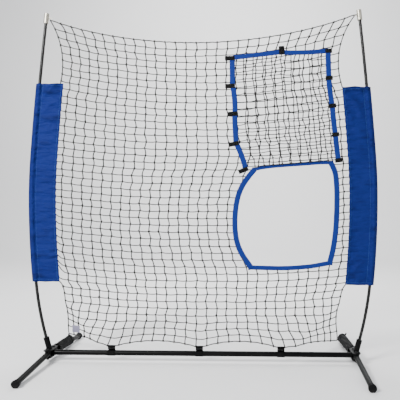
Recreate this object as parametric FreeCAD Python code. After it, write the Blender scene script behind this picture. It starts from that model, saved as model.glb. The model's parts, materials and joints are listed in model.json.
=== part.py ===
"""Portable pitching screen: a low folding base, two bowed poles, fabric side sleeves and a net.

The net has a bound throw-through window, and a net flap that hinges on the window's top edge
and is stowed upright above it. Units are millimetres. X runs to the viewer's right, Y away
from the pitcher, and Z up. The origin is on the ground, midway between the feet's ends.
"""

import FreeCAD, Part

import math
import os

from FreeCAD import Placement, Rotation, Vector

# Overall size
FOOT_REACH = 500.0
SCREEN_Y = -28.0
HUB_X = 931.0
RAIL_Z = 56.0
POLE_TOP_Z = 2139.0

# Base frame
TUBE_R = 16.0
TUBE_WALL = 1.6
PLATE_GAP = 38.0
PLATE_THICK = 4.0
PLATE_HALF_WIDTH = 25.0
POST_HALF = 15.0
FRONT_PIVOT = 38.0
REAR_PIVOT = 50.0
BARREL_R = 17.0
BARREL_HEIGHT = 37.6
BOLT_R = 5.0
BOLT_HOLE_R = 5.25
BARREL_BORE_R = 5.07
BOLT_HEAD_R = 9.2
BOLT_HEAD_HEIGHT = 6.4
NUT_HEIGHT = 8.0
WASHER_R = 10.5
WASHER_THICK = 1.6

# Feet
TIP_Z = 21.0
CAP_COVER = 30.0
CAP_BODY_R = 19.0
CAP_FLARE_R = 22.5
CAP_FLARE_LENGTH = 12.0
CAP_END_THICK = 4.0

# Poles, as (height, outward lean in degrees) knots joined by tangent arcs, straight above them
POLE_R = 9.5
POLE_KNOTS = [(150.0, 15.5), (487.0, 5.5), (1000.0, 0.0), (1250.0, -4.0), (2068.0, -6.4)]
SOCKET_LEAN = 15.5
SOCKET_R = 17.0
SOCKET_BORE_R = 9.6
SOCKET_TOP_Z = 148.0
POLE_FOOT_Z = 82.0
TIP_CAP_R = 15.0
TIP_CAP_LENGTH = 62.0
TIP_CAP_BORE_R = 9.55
TIP_CAP_BORE_DEPTH = 52.0
STUD_R = 3.5
STUD_LENGTH = 16.0
STUD_HEAD_R = 5.5
STUD_HEAD_THICK = 3.0
STUD_SHARE = 0.55

# Side sleeves
SLEEVE_OUTER = 23.0
SLEEVE_INNER = -147.0
SLEEVE_THICK = 2.4
POCKET_OUTER_R = 13.0
POCKET_INNER_R = 10.2
SLEEVE_RANGE = {-1: (490.0, 1706.0), 1: (478.0, 1673.0)}

# Net and its border rope
NET_THICK = 3.0
PANEL_SPLIT_X = (-360.0, 215.0)
PANEL_FAR = 1200.0
PANEL_HIGH = 2300.0
NET_PITCH_X = 118.0
NET_PITCH_Z = 112.0
NET_BAR = 7.0
MIN_GAP_AREA = 900.0
ROPE_R = 4.0
KNOT_SHARE = 1.3
ROPE_MARGIN = 4.2
ROPE_LIFT = 2.0
TOP_CORNER = (935.0, 2099.7)
TOP_SAG_Z = 1960.0
UPPER_WAIST = (861.0, 1945.0)
STRAP_X = (-551.0, -12.0, 484.0)
STRAP_HALF = 22.0
BOTTOM_Z = 97.0
SCALLOP_Z = 126.0

# Lower corners of the net, drawn back to the rear legs
CORNER = {-1: Vector(-915.0, 247.0, 101.0), 1: Vector(880.0, 345.0, 44.0)}
CORNER_PITCH = 105.0
CORNER_EDGE_BOW = 26.0
CORNER_START = 6.0
FOLD_GAP = 1.5
CORNER_HEM_BOW = 14.0

# Window, as the centreline of its binding
WINDOW_LEFT = ((311.0, 580.0), (206.0, 875.0), (321.0, 1178.0))
WINDOW_RIGHT = ((784.0, 1209.0), (820.0, 930.0), (782.0, 611.0))
WINDOW_SILL_MID = (547.0, 584.0)
WINDOW_HALF_SIDE = 13.0
WINDOW_HALF_TOP = 7.5
BINDING_THICK = 6.0

# Flap, stowed upright above the window
FLAP_OFFSET = 9.0
FLAP_BOTTOM = ((275.0, 1192.0), (834.0, 1236.0))
FLAP_TOP = ((190.0, 1856.0), (772.0, 1906.0))
FLAP_LEFT_MID = (207.0, 1470.0)
FLAP_RIGHT_MID = (798.0, 1530.0)
FLAP_BAND = 28.0
FLAP_PITCH = 92.0
TAB_LENGTH = 46.0
TAB_WIDTH = 22.0
TAB_THICK = 1.6
TAB_SIDE_SHARES = (0.03, 0.29, 0.56, 0.84)
TAB_TOP_SHARES = (0.06, 0.5, 0.94)

# Straps that tie the net to the rail
STRAP_THICK = 2.4

# Fabric boots on the rear legs: how far each reaches along its leg, and its mouth's half sizes
BOOT_START = 46.0
BOOT_END = {-1: 290.0, 1: 425.0}
BOOT_NECK = 24.0
BOOT_MOUTH_HALF = 28.0
BOOT_MOUTH_UP = {-1: 36.0, 1: 38.0}
BOOT_MOUTH_DOWN = {-1: 24.0, 1: 17.5}
BOOT_BORE_R = 16.3
BAND_WIDTH = 25.0
BAND_THICK = 2.0
BAND_BACK = 12.0
LOOP_LENGTH = 20.0
LOOP_WIDTH = 16.0
LOOP_THICK = 3.0
LOOP_TURN = {-1: 0.0, 1: 28.0}
TIE_R = 2.5

# Blank sewn label on the left corner of the net
LABEL_SIZE = (52.0, 40.0, 1.2)
LABEL_CENTRE = (-796.0, 182.0)

X_AXIS = Vector(1, 0, 0)
Y_AXIS = Vector(0, 1, 0)
Z_AXIS = Vector(0, 0, 1)
SIDES = {"left": -1, "right": 1}


def screen(x, z, y=0.0):
    """A point of the screen's plane, y in front of (negative) or behind it."""
    return Vector(x, SCREEN_Y + y, z)


def rod(start, end, radius):
    """A round bar from one point to another."""
    run = end - start
    return Part.makeCylinder(radius, run.Length, start, run)


def arc(a, b, c):
    """The arc from a through b to c."""
    return Part.Arc(a, b, c).toShape()


def line(a, b):
    """The straight edge from a to b."""
    return Part.LineSegment(a, b).toShape()


def pipe(edges, radius):
    """A round tube's solid along joined edges."""
    path = Part.Wire(edges)
    start = path.OrderedVertexes[0].Point
    first = path.OrderedEdges[0]
    begin = first.FirstParameter
    if first.valueAt(begin).distanceToPoint(start) > 0.01:
        begin = first.LastParameter
    ring = Part.Wire([Part.makeCircle(radius, start, first.tangentAt(begin))])
    return path.makePipeShell([ring], True, False)


def slab(face, thick):
    """A plate of the given thickness with the face in its middle."""
    normal = face.normalAt(0, 0)
    shape = face.copy()
    shape.translate(normal * (-thick / 2))
    return shape.extrude(normal * thick)


def mirrored(shape, side):
    """The shape as modelled for the right side, or its mirror image for the left."""
    if side > 0:
        return shape
    return shape.mirror(Vector(0, 0, 0), X_AXIS)


def lean_at(z):
    """(x, lean in radians) of the right pole's centreline at height z."""
    low_z, low_lean = POLE_KNOTS[0]
    a = math.radians(low_lean)
    x = HUB_X + (low_z - RAIL_Z) * math.tan(math.radians(SOCKET_LEAN))
    if z <= low_z:
        return x - (low_z - z) * math.tan(a), a
    for (z1, lean1), (z2, lean2) in zip(POLE_KNOTS, POLE_KNOTS[1:]):
        a1, a2 = math.radians(lean1), math.radians(lean2)
        radius = (z2 - z1) / (math.sin(a1) - math.sin(a2))
        top = min(z, z2)
        a = math.asin(math.sin(a1) - (top - z1) / radius)
        x += radius * (math.cos(a) - math.cos(a1))
        if z <= z2:
            return x, a
    return x + (z - z2) * math.tan(a), a


def pole_point(z, offset=0.0):
    """A point of the right pole's centreline, moved outward across the pole by offset."""
    x, a = lean_at(z)
    return screen(x + offset * math.cos(a), z - offset * math.sin(a))


def pole_arcs(low, high, offset=0.0):
    """Tangent arcs along the right pole between two heights, at an offset across it."""
    cuts = [low] + [z for z, _ in POLE_KNOTS if low < z < high] + [high]
    return [
        arc(pole_point(a, offset), pole_point((a + b) / 2, offset), pole_point(b, offset))
        for a, b in zip(cuts, cuts[1:])
    ]


def grid_gaps(region, origin, across, up, pitch, bar, count):
    """Rectangular gaps on a grid that lie inside a planar region, cut at its edge."""
    width, height = pitch
    bounds = region.BoundBox
    bounds.enlarge(1.0)
    cells = []
    for i in range(-count, count):
        for j in range(-count, count):
            corner = origin + across * (i * width + bar / 2) + up * (j * height + bar / 2)
            a = across * (width - bar)
            b = up * (height - bar)
            loop = [corner, corner + a, corner + a + b, corner + b, corner]
            if bounds.isInside(corner + (a + b) * 0.5):
                cells.append(Part.Face(Part.makePolygon(loop)))
    cut = region.common(Part.makeCompound(cells))
    return [f for f in cut.Faces if f.Area > MIN_GAP_AREA]


def holed(face, gaps):
    """The face with gaps taken out of it."""
    return face.cut(Part.makeCompound(gaps)).Faces[0]


def base_rail():
    """The ground rail between the two hubs."""
    half = HUB_X - POST_HALF
    ends = [screen(-half, RAIL_Z), screen(half, RAIL_Z)]
    return rod(*ends, TUBE_R).cut(rod(*ends, TUBE_R - TUBE_WALL))


def pivot_points(side):
    """The two leg pivots of a hub: front, rear."""
    x = side * HUB_X
    return screen(x, RAIL_Z, -FRONT_PIVOT), screen(x, RAIL_Z, REAR_PIVOT)


def hub_bracket(side):
    """Two plates with round ends, and the post between them that the rail is welded to."""
    front, rear = pivot_points(side)
    bottom = RAIL_Z - PLATE_GAP / 2 - PLATE_THICK
    length = rear.y - front.y
    corner = Vector(front.x - PLATE_HALF_WIDTH, front.y, bottom)
    plate = Part.makeBox(2 * PLATE_HALF_WIDTH, length, PLATE_THICK, corner)
    for p in (front, rear):
        plate = plate.fuse(Part.makeCylinder(PLATE_HALF_WIDTH, PLATE_THICK, Vector(p.x, p.y, bottom)))
    upper = plate.copy()
    upper.translate(Z_AXIS * (PLATE_GAP + PLATE_THICK))
    post_corner = Vector(front.x - POST_HALF, SCREEN_Y - POST_HALF, RAIL_Z - PLATE_GAP / 2)
    post = Part.makeBox(2 * POST_HALF, 2 * POST_HALF, PLATE_GAP, post_corner)
    bracket = plate.fuse([upper, post]).removeSplitter()
    for p in (front, rear):
        bracket = bracket.cut(Part.makeCylinder(BOLT_HOLE_R, 100, Vector(p.x, p.y, 0)))
    return bracket


def hexagon(radius, height, centre):
    """A six-sided prism on a centre point."""
    points = [
        centre + Vector(radius * math.cos(k * math.pi / 3), radius * math.sin(k * math.pi / 3), 0)
        for k in range(7)
    ]
    return Part.Face(Part.makePolygon(points)).extrude(Z_AXIS * height)


def pivot_bolts(side):
    """A hexagon bolt down through each leg pivot."""
    top = RAIL_Z + PLATE_GAP / 2 + PLATE_THICK
    length = PLATE_GAP + 2 * PLATE_THICK + WASHER_THICK + NUT_HEIGHT + 3
    bolts = []
    for p in pivot_points(side):
        shank = Part.makeCylinder(BOLT_R, length, Vector(p.x, p.y, top - length))
        bolts.append(shank.fuse(hexagon(BOLT_HEAD_R, BOLT_HEAD_HEIGHT, Vector(p.x, p.y, top))))
    return Part.makeCompound(bolts)


def pivot_nuts(side):
    """A washer and a lock nut under each leg pivot, in one piece."""
    bottom = RAIL_Z - PLATE_GAP / 2 - PLATE_THICK
    nuts = []
    for p in pivot_points(side):
        washer = Part.makeCylinder(WASHER_R, WASHER_THICK, Vector(p.x, p.y, bottom - WASHER_THICK))
        seat = Vector(p.x, p.y, bottom - WASHER_THICK - NUT_HEIGHT)
        nut = washer.fuse(hexagon(BOLT_HEAD_R, NUT_HEIGHT, seat))
        bore = Part.makeCylinder(BOLT_R, 2 * NUT_HEIGHT, seat)
        nuts.append(nut.cut(bore))
    return Part.makeCompound(nuts)


def pole_socket(side):
    """The leaning tube on the hub's top plate that the pole stands in."""
    plate_top = RAIL_Z + PLATE_GAP / 2 + PLATE_THICK
    low, high = pole_point(plate_top - 15), pole_point(SOCKET_TOP_Z)
    socket = rod(low, high, SOCKET_R).cut(rod(low, high, SOCKET_BORE_R))
    corner = Vector(0, SCREEN_Y - 50, plate_top)
    socket = socket.common(Part.makeBox(2 * HUB_X, 100, 200, corner))
    return mirrored(socket, side)


def pole(side):
    """A flexible pole, bowed outward, from its socket to inside its tip cap."""
    low, high = POLE_KNOTS[0][0], POLE_KNOTS[-1][0]
    foot = line(pole_point(POLE_FOOT_Z), pole_point(low))
    top = POLE_TOP_Z - (TIP_CAP_LENGTH - TIP_CAP_BORE_DEPTH)
    head = line(pole_point(high), pole_point(top))
    return mirrored(pipe([foot, *pole_arcs(low, high), head], POLE_R), side)


def tip_axis():
    """(centre of the cap's top face, unit vector up along the pole's end) on the right."""
    _, lean = lean_at(POLE_TOP_Z)
    return pole_point(POLE_TOP_Z), Vector(math.sin(lean), 0, math.cos(lean))


def tip_cap(side):
    """A metal cap on the pole's end, with a headed stud on its inner side for the net's corner."""
    top, up = tip_axis()
    base = top - up * TIP_CAP_LENGTH
    cap = rod(base, top, TIP_CAP_R)
    cap = cap.makeFillet(3.0, [e for e in cap.Edges if e.BoundBox.ZMin > top.z - 5])
    bore = Part.makeCylinder(TIP_CAP_BORE_R, TIP_CAP_BORE_DEPTH + 5, base - up * 5, up)
    inward = Vector(-up.z, 0, up.x)
    root = base + up * (TIP_CAP_LENGTH * STUD_SHARE) + inward * (TIP_CAP_R - 2)
    stud = Part.makeCylinder(STUD_R, STUD_LENGTH, root, inward)
    head_at = root + inward * (STUD_LENGTH - STUD_HEAD_THICK)
    head = Part.makeCylinder(STUD_HEAD_R, STUD_HEAD_THICK, head_at, inward)
    return mirrored(cap.fuse([stud, head]).cut(bore), side)


def sleeve(side):
    """A fabric banner with a pocket for the pole along its outer edge."""
    low, high = SLEEVE_RANGE[side]
    reach = 40.0
    outer = pole_arcs(low - reach, high + reach, SLEEVE_OUTER)
    inner = pole_arcs(low - reach, high + reach, SLEEVE_INNER)
    ends = [
        line(pole_point(z, SLEEVE_OUTER), pole_point(z, SLEEVE_INNER))
        for z in (low - reach, high + reach)
    ]
    face = Part.Face(Part.Wire(Part.__sortEdges__(outer + inner + ends)))
    path = pole_arcs(low - reach, high + reach)
    fabric = slab(face, SLEEVE_THICK).fuse(pipe(path, POCKET_OUTER_R))
    fabric = fabric.cut(pipe(path, POCKET_INNER_R))
    keep = Part.makeBox(2 * HUB_X, 100, high - low, Vector(0, SCREEN_Y - 50, low))
    return mirrored(fabric.common(keep), side)


def seam_height(z):
    """The pole height whose point across on the net's seam lies at height z."""
    across = SLEEVE_INNER + ROPE_MARGIN
    found = z
    for _ in range(6):
        found = z + across * math.sin(lean_at(found)[1])
    return found


def seam_point(side, z):
    """The point of the net's seam at height z, on its own side."""
    p = pole_point(seam_height(z), SLEEVE_INNER + ROPE_MARGIN)
    return Vector(side * p.x, p.y, p.z)


def upper_edge(side):
    """The net's free edge from just above the sleeve to the pole's tip."""
    x, z = UPPER_WAIST
    tip = screen(side * TOP_CORNER[0], TOP_CORNER[1])
    return arc(seam_point(side, SLEEVE_RANGE[side][1] + ROPE_LIFT), screen(side * x, z), tip)


def top_edge():
    """The net's sagging top edge."""
    x, z = TOP_CORNER
    return arc(screen(-x, z), screen(0, TOP_SAG_Z), screen(x, z))


def bottom_edges():
    """The net's bottom edge: level at each strap, and scalloped between the straps."""
    edges = []
    for i, x in enumerate(STRAP_X):
        left, right = screen(x - STRAP_HALF, BOTTOM_Z), screen(x + STRAP_HALF, BOTTOM_Z)
        edges.append(line(left, right))
        if i + 1 < len(STRAP_X):
            end = screen(STRAP_X[i + 1] - STRAP_HALF, BOTTOM_Z)
            edges.append(arc(right, screen((right.x + end.x) / 2, SCALLOP_Z), end))
    return edges


def hem_end(side):
    """Where the bottom edge leaves the outermost strap towards the corner."""
    x = STRAP_X[0] if side < 0 else STRAP_X[-1]
    return screen(x + side * STRAP_HALF, BOTTOM_Z)


def sleeve_seam(side, below):
    """The net's edge along the sleeve, from below its bottom to where the top rope starts."""
    bottom, top = SLEEVE_RANGE[side]
    low, high = seam_height(bottom - below), seam_height(top + ROPE_LIFT)
    return [mirrored(e, side) for e in pole_arcs(low, high, SLEEVE_INNER + ROPE_MARGIN)]


def window_corners(sides, top):
    """The outline's corners from bottom left clockwise, moved outward by two half widths."""
    (lx0, lz0), _, (lx1, lz1) = WINDOW_LEFT
    (rx0, rz0), _, (rx1, rz1) = WINDOW_RIGHT
    return (
        screen(lx0 - sides, lz0 - sides),
        screen(lx1 - sides, lz1 + top),
        screen(rx0 + sides, rz0 + top),
        screen(rx1 + sides, rz1 - sides),
    )


def window_edges(sides, top):
    """The window's outline: the binding's centreline moved outward by two half widths."""
    low_left, high_left, high_right, low_right = window_corners(sides, top)
    (lx, lz), (rx, rz), (sx, sz) = WINDOW_LEFT[1], WINDOW_RIGHT[1], WINDOW_SILL_MID
    return [
        arc(low_left, screen(lx - sides, lz), high_left),
        line(high_left, high_right),
        arc(high_right, screen(rx + sides, rz), low_right),
        arc(low_right, screen(sx, sz - sides), low_left),
    ]


def face_of(edges):
    """The planar face inside a closed run of edges."""
    return Part.Face(Part.Wire(Part.__sortEdges__(edges)))


def net_outline():
    """The flat net's whole sheet, inside its border rope and the sleeve seams."""
    edges = [top_edge()] + bottom_edges()
    for side in SIDES.values():
        hem = hem_end(side)
        fold = (hem - fold_top(side)).normalize()
        below, beyond = ROPE_MARGIN / abs(fold.z), ROPE_MARGIN / abs(fold.x)
        corner = hem + X_AXIS * (side * below)
        start = seam_point(side, SLEEVE_RANGE[side][0] - beyond)
        edges += [upper_edge(side), *sleeve_seam(side, beyond)]
        edges += [line(start, corner), line(corner, hem)]
    return face_of(edges).makeOffset2D(-ROPE_MARGIN)


def panel_corners():
    """The corners of each net panel: strips left of the window, then the parts round it."""
    low_left, high_left, high_right, low_right = window_corners(WINDOW_HALF_SIDE, WINDOW_HALF_TOP)
    far, mid = PANEL_SPLIT_X
    inner = high_left.x
    half_way = WINDOW_LEFT[1][1]
    return {
        "net_far_left": box_corners(-PANEL_FAR, far, 0.0, PANEL_HIGH),
        "net_mid_left": box_corners(far, mid, 0.0, PANEL_HIGH),
        "net_beside_window_top": box_corners(mid, inner, half_way, PANEL_HIGH),
        "net_beside_window_bottom": box_corners(mid, inner, 0.0, half_way),
        "net_below_window": box_corners(inner, PANEL_FAR, 0.0, low_right.z),
        "net_right_of_window": box_corners(high_right.x, PANEL_FAR, low_right.z, high_right.z),
        "net_above_window": [
            high_left,
            high_right,
            screen(PANEL_FAR, high_right.z),
            screen(PANEL_FAR, PANEL_HIGH),
            screen(inner, PANEL_HIGH),
        ],
    }


def box_corners(left, right, low, high):
    """The four corners of an upright rectangle in the screen's plane."""
    return [screen(left, low), screen(right, low), screen(right, high), screen(left, high)]


def net_panels():
    """The flat net as panels that meet edge to edge round the window, with coarse gaps."""
    sheet = net_outline().cut(face_of(window_edges(WINDOW_HALF_SIDE, WINDOW_HALF_TOP)))
    pitch = (NET_PITCH_X, NET_PITCH_Z)
    panels = {}
    for name, corners in panel_corners().items():
        mask = Part.Face(Part.makePolygon(corners + corners[:1]))
        face = max(sheet.common(mask).Faces, key=lambda f: f.Area)
        region = face.makeOffset2D(-NET_BAR)
        gaps = grid_gaps(region, screen(0, BOTTOM_Z), X_AXIS, Z_AXIS, pitch, NET_BAR, 20)
        print(name, "gaps", len(gaps))
        net = slab(holed(face, gaps), NET_THICK)
        for x in STRAP_X:
            corner = screen(x - STRAP_HALF - 1, BOTTOM_Z - 10, -10)
            net = net.cut(Part.makeBox(2 * STRAP_HALF + 2, 20, 20, corner))
        panels[name] = net
    return panels


def fold_top(side):
    """The upper end of the line where the net's corner folds back."""
    return seam_point(side, SLEEVE_RANGE[side][0])


def corner_frame(side):
    """(sleeve corner, net corner, hem end) of the net's drawn-back triangle."""
    return fold_top(side), CORNER[side], hem_end(side)


def bowed(a, b, towards, depth):
    """An arc from a to b that bows by depth towards a third point."""
    middle = (a + b) * 0.5
    along = (b - a).normalize()
    away = towards - middle
    away = (away - along * away.dot(along)).normalize()
    return arc(a, middle + away * depth, b)


def corner_edges(side):
    """The free side edge and the hem of the drawn-back triangle."""
    top, tip, hem = corner_frame(side)
    start = top + (tip - top).normalize() * CORNER_START
    end = hem + (tip - hem).normalize() * CORNER_START
    return bowed(start, tip, hem, CORNER_EDGE_BOW), bowed(tip, end, top, CORNER_HEM_BOW)


def corner_net(side):
    """The net's lower corner, a triangle that runs back and down to the rear leg."""
    top, tip, hem = corner_frame(side)
    across = (hem - top).normalize()
    back = (tip - top) - across * across.dot(tip - top)
    inset = ROPE_MARGIN + 1
    shift = back.normalize() * (FOLD_GAP - inset)
    edge, hem_edge = corner_edges(side)
    ends = [edge.Vertexes[0].Point, top + shift, hem + shift, hem_edge.Vertexes[-1].Point]
    fold = [line(a, b) for a, b in zip(ends, ends[1:])]
    sheet = face_of([edge, hem_edge, *fold]).makeOffset2D(-inset)
    up = sheet.normalAt(0, 0).cross(across).normalize()
    pitch = (CORNER_PITCH, CORNER_PITCH)
    region = sheet.makeOffset2D(-NET_BAR)
    gaps = grid_gaps(region, top, across, up, pitch, NET_BAR, 8)
    print("corner net gaps", len(gaps))
    return slab(holed(sheet, gaps), NET_THICK)


def corner_rope(side):
    """The border rope round the drawn-back corner, its knot, and the cord that ties it."""
    edge, hem = corner_edges(side)
    rope = pipe([edge], ROPE_R).fuse(pipe([hem], ROPE_R))
    tie = rod(CORNER[side], loop_anchor(side), TIE_R)
    return rope.fuse([Part.makeSphere(ROPE_R * KNOT_SHARE, CORNER[side]), tie])


def top_rope():
    """The border rope along the net's top edge and down its free upper edges."""
    rope = pipe([top_edge()], ROPE_R)
    for side in SIDES.values():
        rope = rope.fuse(pipe([upper_edge(side)], ROPE_R))
        tip = screen(side * TOP_CORNER[0], TOP_CORNER[1])
        rope = rope.fuse(Part.makeSphere(ROPE_R * KNOT_SHARE, tip))
    return rope


def bottom_rope():
    """The border rope along the scalloped bottom edge, thickened at its bends."""
    edges = bottom_edges()
    rope = pipe([edges[0]], ROPE_R)
    for edge in edges[1:]:
        rope = rope.fuse([pipe([edge], ROPE_R), Part.makeSphere(ROPE_R, edge.Vertexes[0].Point)])
    return rope


def window_bindings():
    """The fabric band round the window's edge, as the four strips that it is sewn from."""
    outer = face_of(window_edges(WINDOW_HALF_SIDE, WINDOW_HALF_TOP))
    inner = face_of(window_edges(-WINDOW_HALF_SIDE, -WINDOW_HALF_TOP))
    low_left, high_left, high_right, low_right = window_corners(-WINDOW_HALF_SIDE, -WINDOW_HALF_TOP)
    between = [
        screen(low_left.x, 0),
        low_left,
        high_left,
        screen(high_left.x, PANEL_HIGH),
        screen(high_right.x, PANEL_HIGH),
        high_right,
        low_right,
        screen(low_right.x, 0),
    ]
    column = Part.Face(Part.makePolygon(between + between[:1]))
    ring = outer.cut(inner)
    sides = sorted(ring.cut(column).Faces, key=lambda f: f.CenterOfMass.x)
    ends = sorted(ring.common(column).Faces, key=lambda f: f.CenterOfMass.z)
    strips = dict(zip(("left", "right", "bottom", "top"), [sides[0], sides[-1], ends[0], ends[-1]]))
    return {f"window_{name}_binding": slab(face, BINDING_THICK) for name, face in strips.items()}


def flap_edges():
    """The stowed flap's outline, in its plane in front of the net."""
    low_left, low_right = (screen(x, z, -FLAP_OFFSET) for x, z in FLAP_BOTTOM)
    high_left, high_right = (screen(x, z, -FLAP_OFFSET) for x, z in FLAP_TOP)
    left_mid = screen(*FLAP_LEFT_MID, -FLAP_OFFSET)
    right_mid = screen(*FLAP_RIGHT_MID, -FLAP_OFFSET)
    return {
        "left": arc(low_left, left_mid, high_left),
        "top": line(high_left, high_right),
        "right": arc(low_right, right_mid, high_right),
        "bottom": line(low_left, low_right),
    }


def flap_panel():
    """The flap's net area: inside the bands on its sides and top, down to its sewn bottom edge."""
    edges = flap_edges()
    whole = face_of(list(edges.values()))
    inner = whole.makeOffset2D(-FLAP_BAND)
    left, right = sorted(sorted((v.Point for v in inner.Vertexes), key=lambda p: p.z)[:2], key=lambda p: p.x)
    drops = []
    for point, name in ((left, "left"), (right, "right")):
        along = edges[name].tangentAt(edges[name].FirstParameter)
        drops.append(point - along * (2 * FLAP_BAND * (1 if along.z > 0 else -1)))
    skirt = Part.Face(Part.makePolygon([left, right, drops[1], drops[0], left]))
    return whole, inner.fuse(skirt).removeSplitter().common(whole).Faces[0]


def flap_binding():
    """The fabric band round the flap's sides and top."""
    whole, panel = flap_panel()
    return slab(whole.cut(panel).Faces[0], BINDING_THICK)


def flap_net():
    """The net inside the flap's band."""
    _, sheet = flap_panel()
    pitch = (FLAP_PITCH, FLAP_PITCH)
    origin = screen(*FLAP_BOTTOM[0], -FLAP_OFFSET)
    region = sheet.makeOffset2D(-NET_BAR)
    gaps = grid_gaps(region, origin, X_AXIS, Z_AXIS, pitch, NET_BAR, 12)
    print("flap net gaps", len(gaps))
    return slab(holed(sheet, gaps), NET_THICK)


def flap_tab(edge, share):
    """A strip folded round the flap's edge: a leaf in front, one behind, and the fold."""
    first, last = edge.FirstParameter, edge.LastParameter
    at = first + (last - first) * share
    point, along = edge.valueAt(at), edge.tangentAt(at)
    centre = face_of(list(flap_edges().values())).CenterOfMass
    inward = along.cross(Y_AXIS)
    if inward.dot(centre - point) < 0:
        inward = inward * -1
    gap = BINDING_THICK / 2 + 0.2
    outer = Part.makeBox(TAB_LENGTH, 2 * (gap + TAB_THICK), TAB_WIDTH)
    hollow = Part.makeBox(TAB_LENGTH, 2 * gap, TAB_WIDTH, Vector(TAB_THICK, TAB_THICK, 0))
    tab = outer.cut(hollow)
    tab.translate(Vector(-TAB_THICK - 0.3, -(gap + TAB_THICK), -TAB_WIDTH / 2))
    turn = math.degrees(math.atan2(-inward.z, inward.x))
    tab.Placement = Placement(point, Rotation(Y_AXIS, turn)).multiply(tab.Placement)
    return tab


def flap_tabs():
    """The hook-and-loop tabs along the flap's top and sides."""
    edges = flap_edges()
    tabs = [flap_tab(edges["top"], share) for share in TAB_TOP_SHARES]
    for name in ("left", "right"):
        tabs += [flap_tab(edges[name], share) for share in TAB_SIDE_SHARES]
    return Part.makeCompound(tabs)


def base_strap(x):
    """A strap round the rail and up to a loop round the net's bottom rope."""
    left = x - STRAP_HALF
    width = 2 * STRAP_HALF
    loop_r = ROPE_R + 0.2
    start, rope_at = screen(left, RAIL_Z), screen(left, BOTTOM_Z)
    strap = Part.makeCylinder(TUBE_R + STRAP_THICK, width, start, X_AXIS)
    strap = strap.fuse(Part.makeCylinder(loop_r + STRAP_THICK, width, rope_at, X_AXIS))
    corner = screen(left, RAIL_Z, -STRAP_THICK)
    strap = strap.fuse(Part.makeBox(width, 2 * STRAP_THICK, BOTTOM_Z - RAIL_Z, corner))
    strap = strap.cut(Part.makeCylinder(TUBE_R, width, start, X_AXIS))
    return strap.cut(Part.makeCylinder(loop_r, width, rope_at, X_AXIS))


def leg_frame(side, rear):
    """(pivot, placement that turns local +X to run along the leg, leg length)."""
    pivot = pivot_points(side)[1 if rear else 0]
    tip = Vector(side * HUB_X, FOOT_REACH if rear else -FOOT_REACH, TIP_Z)
    run = tip - pivot
    heading = Rotation(Z_AXIS, 90 if rear else -90)
    droop = math.degrees(math.asin((pivot.z - tip.z) / run.Length))
    return pivot, Placement(pivot, heading.multiply(Rotation(Y_AXIS, droop))), run.Length


def placed(shape, placement):
    """The shape moved from its own frame to its place."""
    shape.Placement = placement.multiply(shape.Placement)
    return shape


def leg(side, rear):
    """A leg tube welded to the upright barrel that its pivot bolt goes through."""
    pivot, placement, length = leg_frame(side, rear)
    end = length - CAP_END_THICK
    tube = placed(Part.makeCylinder(TUBE_R, end, Vector(0, 0, 0), X_AXIS), placement)
    inside = Vector(BARREL_R + TUBE_WALL, 0, 0)
    hollow = placed(Part.makeCylinder(TUBE_R - TUBE_WALL, end, inside, X_AXIS), placement)
    foot = Vector(pivot.x, pivot.y, RAIL_Z - BARREL_HEIGHT / 2)
    barrel = Part.makeCylinder(BARREL_R, BARREL_HEIGHT, foot)
    bore = Part.makeCylinder(BARREL_BORE_R, BARREL_HEIGHT, foot)
    return tube.fuse(barrel).cut([hollow, bore])


def end_cap(side, rear):
    """A rubber cap on the leg's end, flared at the tip and cut flat on the ground."""
    _, placement, length = leg_frame(side, rear)
    body = Part.makeCylinder(CAP_BODY_R, CAP_COVER, Vector(length - CAP_COVER, 0, 0), X_AXIS)
    flare_at = Vector(length - CAP_FLARE_LENGTH, 0, 0)
    flare = Part.makeCylinder(CAP_FLARE_R, CAP_FLARE_LENGTH, flare_at, X_AXIS)
    flare = flare.makeFillet(3.0, [e for e in flare.Edges if e.Length > 100])
    tube_end = length - CAP_END_THICK
    bore = Part.makeCylinder(TUBE_R + 0.05, 100, Vector(tube_end - 100, 0, 0), X_AXIS)
    cap = placed(body.fuse(flare).cut(bore), placement)
    ground = Part.makeBox(3000, 3000, 100, Vector(-1500, -1500, -100))
    return cap.cut(ground)


def boot_section(at, half, up, down):
    """A closed curve of four arcs across the leg, at a distance along it."""
    s = math.sqrt(0.5)
    sides = [Vector(at, half, 0), Vector(at, 0, up), Vector(at, -half, 0), Vector(at, 0, -down)]
    mids = [
        Vector(at, half * s, up * s),
        Vector(at, -half * s, up * s),
        Vector(at, -half * s, -down * s),
        Vector(at, half * s, -down * s),
    ]
    turns = zip(sides, mids, sides[1:] + sides[:1])
    return Part.Wire([arc(a, b, c) for a, b, c in turns])


def boot_sizes(side, at):
    """(half width, up, down) of the boot at a distance along the leg."""
    share = (at - BOOT_START) / (BOOT_END[side] - BOOT_START)
    ends = (BOOT_MOUTH_HALF, BOOT_MOUTH_UP[side], BOOT_MOUTH_DOWN[side])
    return tuple(BOOT_NECK + (end - BOOT_NECK) * share for end in ends)


def boot_body(side, start, end, grow):
    """The boot's outer shape between two distances along the leg, grown all round."""
    sections = []
    for at in (start, end):
        half, up, down = boot_sizes(side, at)
        sections.append(boot_section(at, half + grow, up + grow, down + grow))
    return Part.makeLoft(sections, True, True)


def corner_boot(side):
    """The fabric boot on the rear leg."""
    _, placement, _ = leg_frame(side, True)
    boot = boot_body(side, BOOT_START, BOOT_END[side], 0.0)
    bore = Part.makeCylinder(BOOT_BORE_R, 2 * BOOT_END[side], Vector(0, 0, 0), X_AXIS)
    return placed(boot.cut(bore), placement)


def band_range(side):
    """Where the band starts and ends along the leg."""
    end = BOOT_END[side] - BAND_BACK
    return end - BAND_WIDTH, end


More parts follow.
